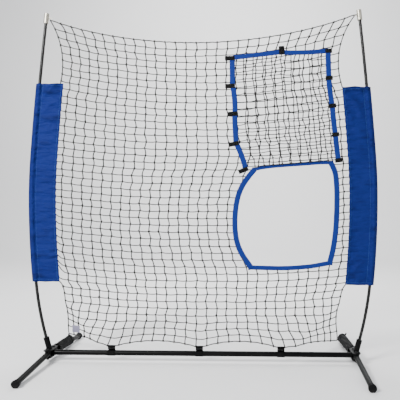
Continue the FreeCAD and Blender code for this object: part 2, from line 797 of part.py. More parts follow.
def loop_anchor(side):
    """The point just clear of the band's loop where the net's tie cord ends."""
    _, placement, _ = leg_frame(side, True)
    start, end = band_range(side)
    _, up, _ = boot_sizes(side, (start + end) / 2)
    out = Rotation(X_AXIS, -LOOP_TURN[side]).multVec(Z_AXIS) * (up + LOOP_LENGTH / 2)
    back = (start + end - LOOP_WIDTH) / 2 - TIE_R
    return placement.multVec(Vector(back, 0, 0) + out)


def boot_band(side):
    """The webbing band round the boot's mouth, with a flat loop for the net's corner."""
    _, placement, _ = leg_frame(side, True)
    start, end = band_range(side)
    band = boot_body(side, start, end, BAND_THICK)
    middle = (start + end) / 2
    _, up, _ = boot_sizes(side, middle)
    root = Vector(middle - LOOP_WIDTH / 2, -LOOP_THICK / 2, up - BAND_BACK)
    loop = Part.makeBox(LOOP_WIDTH, LOOP_THICK, LOOP_LENGTH + BAND_BACK, root)
    loop.Placement = Placement(Vector(0, 0, 0), Rotation(X_AXIS, -LOOP_TURN[side]))
    inner = boot_body(side, start - BAND_BACK, end + BAND_BACK, 0.0)
    return placed(band.fuse(loop).cut(inner), placement)


def label():
    """A blank label sewn to the front of the net's left corner."""
    top, tip, hem = corner_frame(-1)
    normal = (tip - top).cross(hem - top).normalize()
    if normal.y > 0:
        normal = normal * -1
    x, z = LABEL_CENTRE
    y = top.y - (normal.x * (x - top.x) + normal.z * (z - top.z)) / normal.y
    width, height, thick = LABEL_SIZE
    plate = Part.makeBox(width, height, thick, Vector(-width / 2, -height / 2, 0))
    across = Z_AXIS.cross(normal).normalize()
    turn = Rotation(across, normal.cross(across), normal, "ZXY")
    seat = Vector(x, y, z) + normal * (NET_THICK / 2 + 0.2)
    return placed(plate, Placement(seat, turn))


def nodes():
    """Every sub-part by name."""
    found = {
        "base_rail": base_rail(),
        "top_border_rope": top_rope(),
        "bottom_border_rope": bottom_rope(),
        "flap_net": flap_net(),
        "flap_binding": flap_binding(),
        "flap_tabs": flap_tabs(),
        "blank_label": label(),
        **net_panels(),
        **window_bindings(),
    }
    for name, x in zip(("left", "middle", "right"), STRAP_X):
        found[f"{name}_base_strap"] = base_strap(x)
    for name, side in SIDES.items():
        found[f"{name}_hub_bracket"] = hub_bracket(side)
        found[f"{name}_pivot_bolts"] = pivot_bolts(side)
        found[f"{name}_pivot_nuts"] = pivot_nuts(side)
        found[f"{name}_pole_socket"] = pole_socket(side)
        found[f"{name}_pole"] = pole(side)
        found[f"{name}_tip_cap"] = tip_cap(side)
        found[f"{name}_sleeve"] = sleeve(side)
        found[f"{name}_corner_net"] = corner_net(side)
        found[f"{name}_corner_rope"] = corner_rope(side)
        found[f"{name}_corner_boot"] = corner_boot(side)
        found[f"{name}_boot_band"] = boot_band(side)
        for place, rear in (("front", False), ("rear", True)):
            found[f"{name}_{place}_leg"] = leg(side, rear)
            found[f"{name}_{place}_end_cap"] = end_cap(side, rear)
    return found


def main():
    """Write one STEP file for each sub-part."""
    os.makedirs("parts", exist_ok=True)
    for name, shape in nodes().items():
        if not shape.isValid():
            print("not valid:", name)
        shape.exportStep(f"parts/{name}.step")


main()
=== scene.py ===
"""Portable pitching screen: folding black base, two bowed poles, blue sleeves and a knotted net.

Everything is in metres: X to the viewer's right, Y away from the pitcher, Z up. The steel, the
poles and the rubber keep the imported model's meshes and get finishes; the net, ropes, cloth and
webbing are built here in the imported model's places.
"""

import json
import logging
import math
from dataclasses import dataclass, field
from enum import Enum
from functools import cached_property
from typing import Any, Callable, Sequence

import bpy
import numpy as np
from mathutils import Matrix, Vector, noise


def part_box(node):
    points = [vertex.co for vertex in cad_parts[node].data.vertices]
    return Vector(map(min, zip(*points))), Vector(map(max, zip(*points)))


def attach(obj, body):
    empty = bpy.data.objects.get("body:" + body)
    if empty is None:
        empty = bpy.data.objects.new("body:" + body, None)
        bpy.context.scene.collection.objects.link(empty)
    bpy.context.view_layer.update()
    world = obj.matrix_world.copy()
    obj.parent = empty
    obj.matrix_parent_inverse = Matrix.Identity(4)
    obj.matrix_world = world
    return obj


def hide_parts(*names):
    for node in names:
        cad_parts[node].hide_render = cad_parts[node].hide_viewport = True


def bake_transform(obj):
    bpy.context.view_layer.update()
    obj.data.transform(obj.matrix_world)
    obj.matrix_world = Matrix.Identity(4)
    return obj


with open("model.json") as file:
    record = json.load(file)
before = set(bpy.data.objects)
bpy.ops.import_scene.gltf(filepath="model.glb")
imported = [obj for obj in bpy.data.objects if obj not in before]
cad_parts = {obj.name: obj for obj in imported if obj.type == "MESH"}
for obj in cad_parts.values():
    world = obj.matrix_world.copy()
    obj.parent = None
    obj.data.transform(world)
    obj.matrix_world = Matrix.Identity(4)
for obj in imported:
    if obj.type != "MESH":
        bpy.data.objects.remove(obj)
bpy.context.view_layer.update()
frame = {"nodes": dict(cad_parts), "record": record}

LOG = logging.getLogger("screen")
SCREEN_Y = -0.028
SIDES = {"left": -1, "right": 1}
FRONT = Vector((0.0, -1.0, 0.0))

HUB_X = 0.931
RAIL_Z = 0.056
ROW_GAP = 0.04235
SEAM_LIFT = 0.0001

# Places that several pieces share: the sleeves' ends, the seam's offset from the pole, the straps on
# the rail, the net's lower edge, and the tips of the corners that are tied back to the legs
SLEEVE_RANGE = {-1: (0.490, 1.706), 1: (0.478, 1.673)}
SEAM = -0.1455
STRAPS = (-0.551, -0.012, 0.484)
STRAP_HALF = 0.022
BOTTOM_Z = 0.097
CORNER_TIPS = {-1: Vector((-0.915, 0.247, 0.101)), 1: Vector((0.880, 0.345, 0.044))}

Point2 = tuple[float, float]
Triple = tuple[float, float, float]
Color = Triple
Runs = Sequence[Sequence[Vector]]


# Small geometry helpers


def circle_through(a: Point2, b: Point2, c: Point2) -> tuple[Point2, float]:
    """The circle through three points.

    Args:
        a, b, c: The points, in order along the arc.

    Returns:
        The centre and the radius.
    """
    (ax, ay), (bx, by), (cx, cy) = a, b, c
    d = 2 * (ax * (by - cy) + bx * (cy - ay) + cx * (ay - by))
    a2, b2, c2 = ax * ax + ay * ay, bx * bx + by * by, cx * cx + cy * cy
    ux = (a2 * (by - cy) + b2 * (cy - ay) + c2 * (ay - by)) / d
    uy = (a2 * (cx - bx) + b2 * (ax - cx) + c2 * (bx - ax)) / d
    return (ux, uy), math.hypot(ax - ux, ay - uy)


def arc_x(points: Sequence[Point2], z: float) -> float:
    """X of an upright arc at height z.

    Args:
        points: Three points of the arc, as (x, z).
        z: The height.

    Returns:
        The arc's X there.
    """
    (cx, cz), radius = circle_through(*points)
    reach = math.sqrt(max(radius * radius - (z - cz) ** 2, 0.0))
    return cx + reach if points[1][0] > cx else cx - reach


def arc_z(points: Sequence[Point2], x: float) -> float:
    """Z of a level arc at x: the same as arc_x with the axes changed over."""
    return arc_x([(z, across) for across, z in points], x)


def through(marks: Sequence[Point2], steps: int = 12) -> list[Point2]:
    """A smooth line through marks.

    Args:
        marks: The marks, in order.
        steps: How many steps from mark to mark.

    Returns:
        The line's points.
    """
    before, after = 2 * np.array(marks[0]) - marks[1], 2 * np.array(marks[-1]) - marks[-2]
    p = np.array([before, *marks, after])
    line = [tuple(marks[0])]
    for a, b, c, d in zip(p, p[1:], p[2:], p[3:]):
        for t in (n / steps for n in range(1, steps + 1)):
            curve = (2 * a - 5 * b + 4 * c - d) * t**2 / 2 + (3 * b - a - 3 * c + d) * t**3 / 2
            line.append(tuple(b + (c - a) * t / 2 + curve))
    return line


def of_side(pair: Sequence[Any], side: int) -> Any:
    """The first value of a pair for side -1, and the second for side 1."""
    return pair[side > 0]


def turnabout(row: int) -> int:
    """1 for an odd row of the net and -1 for an even one."""
    return 1 if row % 2 else -1


def halved(low: float, high: float, below: Callable[[float], bool], steps: int = 30) -> float:
    """The value at which a test changes its answer, found by halving a range.

    Args:
        low: The range's start, which passes the test.
        high: The range's end, which fails it.
        below: The test.
        steps: How often the range is halved.

    Returns:
        The highest value that was seen to pass.
    """
    for _ in range(steps):
        middle = (low + high) / 2
        if below(middle):
            low = middle
        else:
            high = middle
    return low


def hump(t: float, rise: float, fall: float, peak: float) -> float:
    """A hump from 0 up and back to 0 over a share, by two powers, over the peak of its bare form."""
    return t**rise * (1 - t) ** fall / peak


def smooth(low: float, high: float, value: float) -> float:
    """A share that eases from 0 at low to 1 at high."""
    t = min(max((value - low) / (high - low), 0.0), 1.0)
    return t * t * (3 - 2 * t)


def wave(point: Sequence[float], scale: float, seed: float = 0.0) -> float:
    """Smooth noise from -1 to 1 at a point."""
    return noise.noise(Vector(point) * scale + Vector((seed, 1.7 * seed, -seed)))


def place_mesh(name: str, verts: Sequence, faces: Sequence, edges: Sequence = ()) -> bpy.types.Object:
    """A new mesh object at the origin.

    Args:
        name: Its name.
        verts: Its points.
        faces: Its faces, as point numbers.
        edges: Its loose edges, as point numbers.

    Returns:
        The object, in the scene.
    """
    mesh = bpy.data.meshes.new(name)
    mesh.from_pydata([tuple(v) for v in verts], list(edges), list(faces))
    mesh.validate()
    mesh.update()
    obj = bpy.data.objects.new(name, mesh)
    bpy.context.scene.collection.objects.link(obj)
    return obj


def shade(obj: bpy.types.Object, material: bpy.types.Material) -> bpy.types.Object:
    """Gives a new object its material and smooth faces.

    Args:
        obj: The object.
        material: Its finish.

    Returns:
        The object.
    """
    obj.data.materials.append(material)
    obj.data.shade_smooth()
    return obj


def shell(
    name: str, rows: Runs, thick: float, material: bpy.types.Material, ring: bool = False
) -> bpy.types.Object:
    """A closed thin sheet through rows of points.

    Args:
        name: The object's name.
        rows: The points of its middle surface, row by row.
        thick: Its thickness.
        material: Its finish.
        ring: Whether each row closes on itself.

    Returns:
        The object: two skins joined all round.
    """
    grid = np.array([[tuple(p) for p in row] for row in rows])
    down = np.gradient(grid, axis=0)
    if ring:
        across = (np.roll(grid, -1, axis=1) - np.roll(grid, 1, axis=1)) / 2
    else:
        across = np.gradient(grid, axis=1)
    normal = np.cross(across, down)
    normal = normal / np.maximum(np.linalg.norm(normal, axis=2, keepdims=True), 1e-12)
    n, m = grid.shape[:2]
    verts = np.vstack([(grid + normal * share).reshape(-1, 3) for share in (thick / 2, -thick / 2)])
    half, last = n * m, (n - 1) * m
    spans = [(j, (j + 1) % m) for j in range(m if ring else m - 1)]
    faces = []
    for i in range(0, last, m):
        for j, k in spans:
            a, b, c, d = i + j, i + k, i + m + k, i + m + j
            faces += [(a, b, c, d), (half + d, half + c, half + b, half + a)]
    for j, k in spans:
        faces += [(half + j, half + k, k, j), (last + j, last + k, half + last + k, half + last + j)]
    if not ring:
        for a in range(0, last, m):
            b, c, d = a + m, a + m - 1, a + 2 * m - 1
            faces += [(a, b, half + b, half + a), (d, c, half + c, half + d)]
    return shade(place_mesh(name, verts, faces), material)


def merged(name: str, parts: Sequence[bpy.types.Object]) -> bpy.types.Object:
    """Several mesh objects joined into one.

    Args:
        name: The joined object's name.
        parts: The objects, which are used up.

    Returns:
        The joined object, with the first part's material slots and then the others'.
    """
    verts, faces, kinds, materials = [], [], [], []
    for part in parts:
        base = len(verts)
        verts.extend(v.co.copy() for v in part.data.vertices)
        slots = []
        for material in part.data.materials:
            if material not in materials:
                materials.append(material)
            slots.append(materials.index(material))
        for polygon in part.data.polygons:
            faces.append([base + i for i in polygon.vertices])
            kinds.append((slots[polygon.material_index] if slots else 0, polygon.use_smooth))
        bpy.data.objects.remove(part)
    joined = place_mesh(name, verts, faces)
    for material in materials:
        joined.data.materials.append(material)
    for polygon, (slot, smooth) in zip(joined.data.polygons, kinds):
        polygon.material_index = slot
        polygon.use_smooth = smooth
    return joined


def lines_object(name: str, runs: Runs) -> bpy.types.Object:
    """An object of loose edges along runs of points.

    Args:
        name: Its name.
        runs: The points of each run.

    Returns:
        The object.
    """
    verts, edges = [], []
    for run in runs:
        base = len(verts)
        verts.extend(run)
        edges.extend((base + i, base + i + 1) for i in range(len(run) - 1))
    return place_mesh(name, verts, [], edges)


def crossed_box(corners: Sequence[Vector]) -> list[list[Vector]]:
    """The seams of a stitched box: its four sides and its two diagonals."""
    sides = [[a, b] for a, b in zip(corners, [*corners[1:], corners[0]])]
    return sides + [[corners[0], corners[2]], [corners[1], corners[3]]]


def hand_over(piece: bpy.types.Object, slot: str, *stands_for: str, body: str = "") -> bpy.types.Object:
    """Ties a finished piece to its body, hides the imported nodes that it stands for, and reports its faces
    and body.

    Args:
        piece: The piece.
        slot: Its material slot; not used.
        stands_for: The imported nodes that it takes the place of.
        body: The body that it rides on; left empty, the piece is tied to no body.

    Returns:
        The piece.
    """
    if body:
        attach(piece, body)
    if stands_for:
        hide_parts(*stands_for)
    LOG.info("%s: %d faces, %s", piece.name, len(piece.data.polygons), body or "between two bodies")
    return piece


def feed(tree: bpy.types.NodeTree, node: Any, inputs: dict[Any, Any]) -> None:
    """Links or sets a node's inputs; a colour is opaque, and None leaves an input as it is.

    Args:
        tree: The tree.
        node: The node.
        inputs: Values or output sockets, by input name or number.
    """
    for key, value in inputs.items():
        socket = node.inputs[key]
        if isinstance(value, bpy.types.NodeSocket):
            tree.links.new(value, socket)
        elif value is not None:
            socket.default_value = (*value, 1.0) if socket.type == "RGBA" else value


def add_node(tree: bpy.types.NodeTree, kind: str, inputs: dict[Any, Any], settings: dict[str, Any]) -> Any:
    """Adds a node to a tree.

    Args:
        tree: The tree.
        kind: The node's type.
        inputs: Values or output sockets, by input name or number.
        settings: Attributes of the node.

    Returns:
        The node.
    """
    added = tree.nodes.new(kind)
    for key, value in settings.items():
        setattr(added, key, value)
    feed(tree, added, inputs)
    return added


# Finishes


class Shader:
    """A material's node tree while it is being put together."""

    def __init__(self, name: str) -> None:
        """Starts a material with one Principled shader on its output.

        Args:
            name: The material's name.
        """
        self.material = bpy.data.materials.new(name)
        self.material.use_nodes = True
        self.tree = self.material.node_tree
        self.tree.nodes.clear()
        out = self.tree.nodes.new("ShaderNodeOutputMaterial")
        self.surface = self.tree.nodes.new("ShaderNodeBsdfPrincipled")
        feed(self.tree, out, {"Surface": self.surface.outputs["BSDF"]})
        self.place = self.tree.nodes.new("ShaderNodeTexCoord").outputs["Object"]

    def node(self, kind: str, inputs: dict[Any, Any], **settings: Any) -> Any:
        """Adds a node with the given inputs and attributes."""
        return add_node(self.tree, kind, inputs, settings)

    def warped(self, **inputs: Any) -> Any:
        """The object's coordinates, stretched by Scale or turned by Rotation."""
        return self.node("ShaderNodeMapping", {"Vector": self.place, **inputs}).outputs[0]

    def noise(self, scale: float, detail: float = 3.0, vector: Any = None) -> Any:
        """The value of a noise texture with the given scale and detail."""
        inputs = {"Vector": vector or self.place, "Scale": scale, "Detail": detail, "Roughness": 0.55}
        return self.node("ShaderNodeTexNoise", inputs).outputs["Fac"]

    def bands(self, scale: float, axis: str, vector: Any = None, bend: float = 0.0) -> Any:
        """The value of straight bands across an axis.

        Args:
            scale: Bands per metre.
            axis: The axis that they cross.
            vector: The coordinates, if not the object's own.
            bend: How much they are bent.

        Returns:
            The bands' output socket.
        """
        inputs = {"Vector": vector or self.place, "Scale": scale, "Distortion": bend, "Detail": 1.0}
        return self.node(
            "ShaderNodeTexWave", inputs, wave_type="BANDS", bands_direction=axis, wave_profile="SIN"
        ).outputs["Fac"]

    def maths(self, operation: str, a: Any, b: Any) -> Any:
        """The result of a math node."""
        return self.node("ShaderNodeMath", {0: a, 1: b}, operation=operation).outputs[0]

    def times(self, a: Any, b: Any) -> Any:
        """The product of two values."""
        return self.maths("MULTIPLY", a, b)

    def spread(self, value: Any, low: float, high: float, new_low: float, new_high: float) -> Any:
        """A value mapped from one range to another, and held inside it."""
        inputs = {"Value": value, "From Min": low, "From Max": high, "To Min": new_low, "To Max": new_high}
        return self.node("ShaderNodeMapRange", inputs).outputs["Result"]

    def mix(self, share: Any, a: Any, b: Any) -> Any:
        """Two colours mixed by a share."""
        return self.node("ShaderNodeMix", {"Factor": share, 6: a, 7: b}, data_type="RGBA").outputs[2]

    def bump(self, height: Any, strength: float, distance: float, under: Any = None) -> Any:
        """A bump normal from a height, on top of another normal if one is given."""
        inputs = {"Height": height, "Strength": strength, "Distance": distance, "Normal": under}
        return self.node("ShaderNodeBump", inputs).outputs["Normal"]

    def finish(self, color: Any, rough: Any, normal: Any = None, **sockets: Any) -> bpy.types.Material:
        """Sets the shader's sockets and returns the material.

        Args:
            color: A colour or an output socket.
            rough: A roughness or an output socket.
            normal: The bump's output socket, if any.
            sockets: Further values of the shader's own sockets, with _ for a space.

        Returns:
            The material.
        """
        values = {"Base Color": color, "Roughness": rough, "Normal": normal}
        values |= {key.replace("_", " "): value for key, value in sockets.items()}
        feed(self.tree, self.surface, values)
        return self.material


@dataclass(frozen=True)
class PowderCoat:
    """Black powder coat on steel: fine orange peel, dust in patches and a few pale scuffs."""

    name: str = "black powder coat"
    dark: Color = (0.0016, 0.0016, 0.0020)
    dusty: Color = (0.0045, 0.0044, 0.0043)
    scuff: Color = (0.04, 0.039, 0.037)
    rough: float = 0.30

    def material(self) -> bpy.types.Material:
        """Builds the material.

        Returns:
            The material.
        """
        s = Shader(self.name)
        patch = s.spread(s.noise(9.0, 4.0), 0.35, 0.75, 0.0, 1.0)
        marks = s.spread(s.noise(55.0, 6.0, s.warped(Scale=(1.0, 1.0, 3.5))), 0.72, 0.80, 0.0, 0.55)
        color = s.mix(marks, s.mix(patch, self.dark, self.dusty), self.scuff)
        rough = s.spread(patch, 0.0, 1.0, self.rough, self.rough + 0.16)
        normal = s.bump(s.noise(900.0, 2.0), 0.12, 0.0006)
        return s.finish(color, rough, normal, Specular_IOR_Level=0.07)


@dataclass(frozen=True)
class BlackZinc:
    """Blackened zinc on bolts and nuts, with duller patches."""

    name: str = "black zinc plate"
    bright: Color = (0.075, 0.075, 0.080)
    dull: Color = (0.035, 0.034, 0.034)

    def material(self) -> bpy.types.Material:
        """Builds the material.

        Returns:
            The material.
        """
        s = Shader(self.name)
        patch = s.noise(160.0, 4.0)
        color = s.mix(patch, self.bright, self.dull)
        rough = s.spread(patch, 0.3, 0.7, 0.24, 0.45)
        return s.finish(color, rough, s.bump(patch, 0.1, 0.0004), Metallic=1.0)


@dataclass(frozen=True)
class FibreRod:
    """The pole's satin black fibreglass: fine lengthwise streaks and handling marks."""

    name: str = "black fibreglass"
    dark: Color = (0.0035, 0.0035, 0.004)
    streaked: Color = (0.009, 0.0088, 0.0085)
    handled: Color = (0.06, 0.058, 0.055)

    def material(self) -> bpy.types.Material:
        """Builds the material.

        Returns:
            The material.
        """
        s = Shader(self.name)
        streak = s.noise(700.0, 3.0, s.warped(Scale=(1.0, 1.0, 0.03)))
        mark = s.spread(s.noise(38.0, 5.0), 0.55, 0.8, 0.0, 1.0)
        color = s.mix(streak, self.dark, self.streaked)
        color = s.mix(s.times(mark, 0.5), color, self.handled)
        rough = s.spread(mark, 0.0, 1.0, 0.27, 0.42)
        return s.finish(color, rough, s.bump(streak, 0.15, 0.0003), Specular_IOR_Level=0.22)


@dataclass(frozen=True)
class CapMetal:
    """The pole tips' pale cast metal: a warm bead-blasted face with darker handling."""

    name: str = "pale cast metal"
    pale: Color = (0.47, 0.45, 0.38)
    worn: Color = (0.26, 0.245, 0.20)

    def material(self) -> bpy.types.Material:
        """Builds the material.

        Returns:
            The material.
        """
        s = Shader(self.name)
        patch = s.noise(70.0, 5.0)
        color = s.mix(s.spread(patch, 0.35, 0.7, 0.0, 1.0), self.pale, self.worn)
        return s.finish(color, 0.36, s.bump(s.noise(1400.0, 2.0), 0.15, 0.0004), Metallic=0.75)


@dataclass(frozen=True)
class CapRubber:
    """Matt black rubber of the feet, a little grey with floor dust near the ground."""

    name: str = "foot rubber"
    black: Color = (0.0022, 0.0022, 0.0025)
    dusty: Color = (0.018, 0.017, 0.016)
    dust_height: float = 0.025

    def material(self) -> bpy.types.Material:
        """Builds the material.

        Returns:
            The material.
        """
        s = Shader(self.name)
        height = s.node("ShaderNodeSeparateXYZ", {"Vector": s.place}).outputs["Z"]
        dust = s.times(s.spread(height, 0.0, self.dust_height, 1.0, 0.0), s.noise(120.0, 4.0))
        color = s.mix(dust, self.black, self.dusty)
        return s.finish(color, 0.72, s.bump(s.noise(600.0, 3.0), 0.25, 0.0006), Specular_IOR_Level=0.12)


@dataclass(frozen=True)
class NetTwine:
    """Knotted net twine: grey yarn with a twisted bump, lighter rubbed strands and painted shade in the
    grooves of its twist.
    """

    name: str = "net twine"
    dark: Color = (0.012, 0.0115, 0.011)
    pale: Color = (0.042, 0.040, 0.038)

    def material(self) -> bpy.types.Material:
        """Builds the material.

        Returns:
            The material.
        """
        s = Shader(self.name)
        lay = s.bands(260.0, "X", s.warped(Rotation=(0.3, 0.785, 0.2)), 1.5)
        tone = s.spread(s.noise(17.0, 3.0), 0.3, 0.7, 0.0, 1.0)
        fleck = s.noise(420.0, 3.0)
        share = s.times(s.maths("ADD", tone, s.times(fleck, 0.8)), 0.5)
        # Painted shade: the colour falls to 0.55 of itself in the grooves of the twist, where the bump is
        # low.
        color = s.mix(s.times(share, s.spread(lay, 0.0, 1.0, 0.55, 1.0)), self.dark, self.pale)
        return s.finish(color, 0.8, s.bump(lay, 0.5, 0.0005), Sheen_Weight=0.05, Specular_IOR_Level=0.2)


@dataclass(frozen=True)
class WovenCloth:
    """Plain-woven polyester: crossing threads, faded tones and a soft sheen, with painted shade between the
    threads and, where asked, in bands of folds.
    """

    name: str
    base: Color
    faded: Color
    threads: float = 520.0
    rough: float = 0.66
    sheen: float = 0.01
    # How strong the painted shade in the fold bands is; 0 leaves it out.
    painted_crease_shade: float = 0.0

    def material(self) -> bpy.types.Material:
        """Builds the material.

        Returns:
            The material.
        """
        s = Shader(self.name)
        warp, weft_x, weft_y = (s.bands(self.threads, axis, None, 0.15) for axis in "ZXY")
        weave = s.times(warp, s.maths("MAXIMUM", weft_x, s.times(weft_y, 0.8)))
        tone = s.spread(s.noise(11.0, 4.0), 0.3, 0.72, 0.0, 1.0)
        streak = s.spread(s.noise(30.0, 3.0, s.warped(Scale=(1.0, 1.0, 14.0))), 0.45, 0.75, 0.0, 0.35)
        color = s.mix(s.maths("MAXIMUM", s.times(tone, 0.55), streak), self.base, self.faded)
        # Painted shade: a darker copy of the cloth's colour, laid into the gaps between the threads and into
        # the fold bands below.
        deep = tuple(c * 0.55 for c in self.base)
        color = s.mix(s.spread(weave, 0.0, 0.35, 0.45, 0.0), color, deep)
        normal = s.bump(weave, 0.35, 0.0004)
        normal = s.bump(s.noise(45.0, 3.0), 0.25, 0.002, normal)
        # Painted shade in the folds: bands of noise darken the colour towards the darker copy and bump the
        # normal with the same bands.
        if self.painted_crease_shade:
            fold = s.noise(21.0, 3.0, s.warped(Rotation=(0.0, 0.3, 0.0), Scale=(0.30, 1.0, 1.0)))
            color = s.mix(s.spread(fold, 0.54, 0.70, 0.0, self.painted_crease_shade), color, deep)
            normal = s.bump(fold, 1.0, 0.030, normal)
        return s.finish(color, self.rough, normal, Sheen_Weight=self.sheen, Specular_IOR_Level=0.08)


@dataclass(frozen=True)
class Thread:
    """Plain sewing thread, with darker flecks."""

    name: str
    tone: Color
    shadow: float = 0.6
    rough: float = 0.55

    def material(self) -> bpy.types.Material:
        """Builds the material.

        Returns:
            The material.
        """
        s = Shader(self.name)
        fleck = s.noise(900.0, 2.0)
        color = s.mix(fleck, self.tone, tuple(c * self.shadow for c in self.tone))
        return s.finish(color, self.rough, s.bump(fleck, 0.3, 0.0002))


# Geometry node trees


class Tree:
    """A geometry node tree while it is being put together."""

    def __init__(self, name: str) -> None:
        """Starts a tree with one geometry input and one geometry output.

        Args:
            name: The tree's name.
        """
        self.group = bpy.data.node_groups.new(name, "GeometryNodeTree")
        self.group.interface.new_socket("Geometry", in_out="INPUT", socket_type="NodeSocketGeometry")
        self.group.interface.new_socket("Geometry", in_out="OUTPUT", socket_type="NodeSocketGeometry")
        self.start = self.group.nodes.new("NodeGroupInput")
        self.end = self.group.nodes.new("NodeGroupOutput")
        self.shape = self.start.outputs["Geometry"]

    def size(self, name: str, kind: str = "Float") -> Any:
        """Adds a named input and returns its socket."""
        self.group.interface.new_socket(name, in_out="INPUT", socket_type=f"NodeSocket{kind}")
        return self.start.outputs[name]

    def node(self, kind: str, inputs: dict[Any, Any], out: Any = 0, **settings: Any) -> Any:
        """Adds a node."""
        return add_node(self.group, kind, inputs, settings).outputs[out]

    def maths(self, operation: str, a: Any, b: Any) -> Any:
        """The result of a math node."""
        return self.node("ShaderNodeMath", {0: a, 1: b}, operation=operation)

    def marked(self, name: str, kind: str) -> Any:
        """A named attribute of the points."""
        return self.node("GeometryNodeInputNamedAttribute", {"Name": name}, "Attribute", data_type=kind)

    def random(self, low: Color, high: Color, seed: Any) -> Any:
        """A random vector between two."""
        inputs = {0: low, 1: high, "Seed": seed}
        return self.node("FunctionNodeRandomValue", inputs, data_type="FLOAT_VECTOR")

    def join(self, *shapes: Any) -> Any:
        """Joins several geometries.

        Returns:
            The joined geometry.
        """
        added = self.group.nodes.new("GeometryNodeJoinGeometry")
        for shape in shapes:
            self.group.links.new(shape, added.inputs[0])
        return added.outputs[0]

    def close(self, shape: Any, material: Any) -> bpy.types.GeometryNodeTree:
        """Ends the tree in Realize Instances and Set Material.

        Args:
            shape: The last geometry.
            material: The material's socket.

        Returns:
            The finished tree.
        """
        smooth = self.node("GeometryNodeSetShadeSmooth", {"Geometry": shape})
        real = self.node("GeometryNodeRealizeInstances", {"Geometry": smooth})
        done = self.node("GeometryNodeSetMaterial", {"Geometry": real, "Material": material})
        self.group.links.new(done, self.end.inputs[0])
        return self.group


def run_tree(
    obj: bpy.types.Object, tree: bpy.types.GeometryNodeTree, sizes: dict[str, Any]
) -> bpy.types.Object:
    """Puts a tree on an object, evaluates it, and keeps the result as a plain mesh.

    Args:
        obj: The object that the tree reads.
        tree: The geometry node tree.
        sizes: The tree's inputs by name.

    Returns:
        The same object with its new mesh and no modifier.
    """
    modifier = obj.modifiers.new(tree.name, "NODES")
    modifier.node_group = tree
    for item in tree.interface.items_tree:
        if item.item_type == "SOCKET" and item.in_out == "INPUT" and item.name in sizes:
            modifier[item.identifier] = sizes[item.name]
    ready = obj.evaluated_get(bpy.context.evaluated_depsgraph_get())
    mesh = bpy.data.meshes.new_from_object(ready)
    obj.modifiers.clear()
    mesh.name = obj.name
    obj.data = mesh
    return obj


def twine_tree() -> bpy.types.GeometryNodeTree:
    """The tree that turns a net's lines into twine, with a long crossed joint on each marked point.

    Returns:
        The finished tree.
    """
    thickness, spacing = 0.62, 0.19
    turns, least, most = (0.2, 0.22, 0.5), (0.85, 0.9, 0.85), (1.15, 1.1, 1.2)
    t = Tree("net twine")
    radius, sides = t.size("Twine Radius"), t.size("Sides", "Int")
    length, width = t.size("Joint Length"), t.size("Joint Width")
    lean, seed = t.size("Joint Lean"), t.size("Seed", "Int")
    material = t.size("Material", "Material")
    lines = t.node("GeometryNodeMeshToCurve", {"Mesh": t.shape})
    profile = t.node("GeometryNodeCurvePrimitiveCircle", {"Resolution": sides, "Radius": radius})
    swept = {"Curve": lines, "Profile Curve": profile, "Scale": t.marked("stout", "FLOAT"), "Fill Caps": True}
    tubes = t.node("GeometryNodeCurveToMesh", swept)
    points = t.node("GeometryNodeMeshToPoints", {"Mesh": t.shape, "Selection": t.marked("knot", "BOOLEAN")})
    ball = t.node("GeometryNodeMeshIcoSphere", {"Radius": 0.5, "Subdivisions": 1})
    thick = t.maths("MULTIPLY", width, thickness)
    scale = t.node("ShaderNodeCombineXYZ", {"X": thick, "Y": thick, "Z": length})
    legs = []
    for sign in (-1.0, 1.0):
        place = t.node("ShaderNodeCombineXYZ", {"X": t.maths("MULTIPLY", width, spacing * sign)})
        spin = t.node("ShaderNodeCombineXYZ", {"Y": t.maths("MULTIPLY", lean, sign)})
        leg = {"Geometry": ball, "Translation": place, "Rotation": spin, "Scale": scale}
        legs.append(t.node("GeometryNodeTransform", leg))
    tied = {"Points": points, "Instance": t.join(*legs)}
    tied["Rotation"] = t.random(tuple(-turn for turn in turns), turns, seed)
    tied["Scale"] = t.random(least, most, seed)
    return t.close(t.join(tubes, t.node("GeometryNodeInstanceOnPoints", tied)), material)


def rope_tree() -> bpy.types.GeometryNodeTree:
    """The tree that lays three twisted strands along a line.

    Returns:
        The finished tree.
    """
    strands, sides, out, thickness = 3, 6, 0.5, 0.56
    t = Tree("laid rope")
    radius, lay = t.size("Rope Radius"), t.size("Lay Length")
    step, material = t.size("Step"), t.size("Material", "Material")
    lines = t.node("GeometryNodeMeshToCurve", {"Mesh": t.shape})
    even = t.node("GeometryNodeResampleCurve", {"Curve": lines, "Length": step}, mode="LENGTH")
    doubled = {"Geometry": even, "Amount": strands}
    copies = add_node(t.group, "GeometryNodeDuplicateElements", doubled, {"domain": "SPLINE"}).outputs
    turns = t.maths("DIVIDE", t.node("GeometryNodeSplineParameter", {}, "Length"), lay)
    third = t.maths("DIVIDE", copies["Duplicate Index"], float(strands))
    angle = t.maths("MULTIPLY", t.maths("ADD", turns, third), 2 * math.pi)
    spin = {"Vector": t.node("GeometryNodeInputNormal", {}), "Axis": t.node("GeometryNodeInputTangent", {})}
    spun = t.node("ShaderNodeVectorRotate", {**spin, "Angle": angle}, rotation_type="AXIS_ANGLE")
    shift = {0: spun, "Scale": t.maths("MULTIPLY", radius, out)}
    offset = t.node("ShaderNodeVectorMath", shift, operation="SCALE")
    moved = t.node("GeometryNodeSetPosition", {"Geometry": copies["Geometry"], "Offset": offset})
    strand = {"Resolution": sides, "Radius": t.maths("MULTIPLY", radius, thickness)}
    profile = t.node("GeometryNodeCurvePrimitiveCircle", strand)
    swept = {"Curve": moved, "Profile Curve": profile, "Fill Caps": True}
    return t.close(t.node("GeometryNodeCurveToMesh", swept), material)


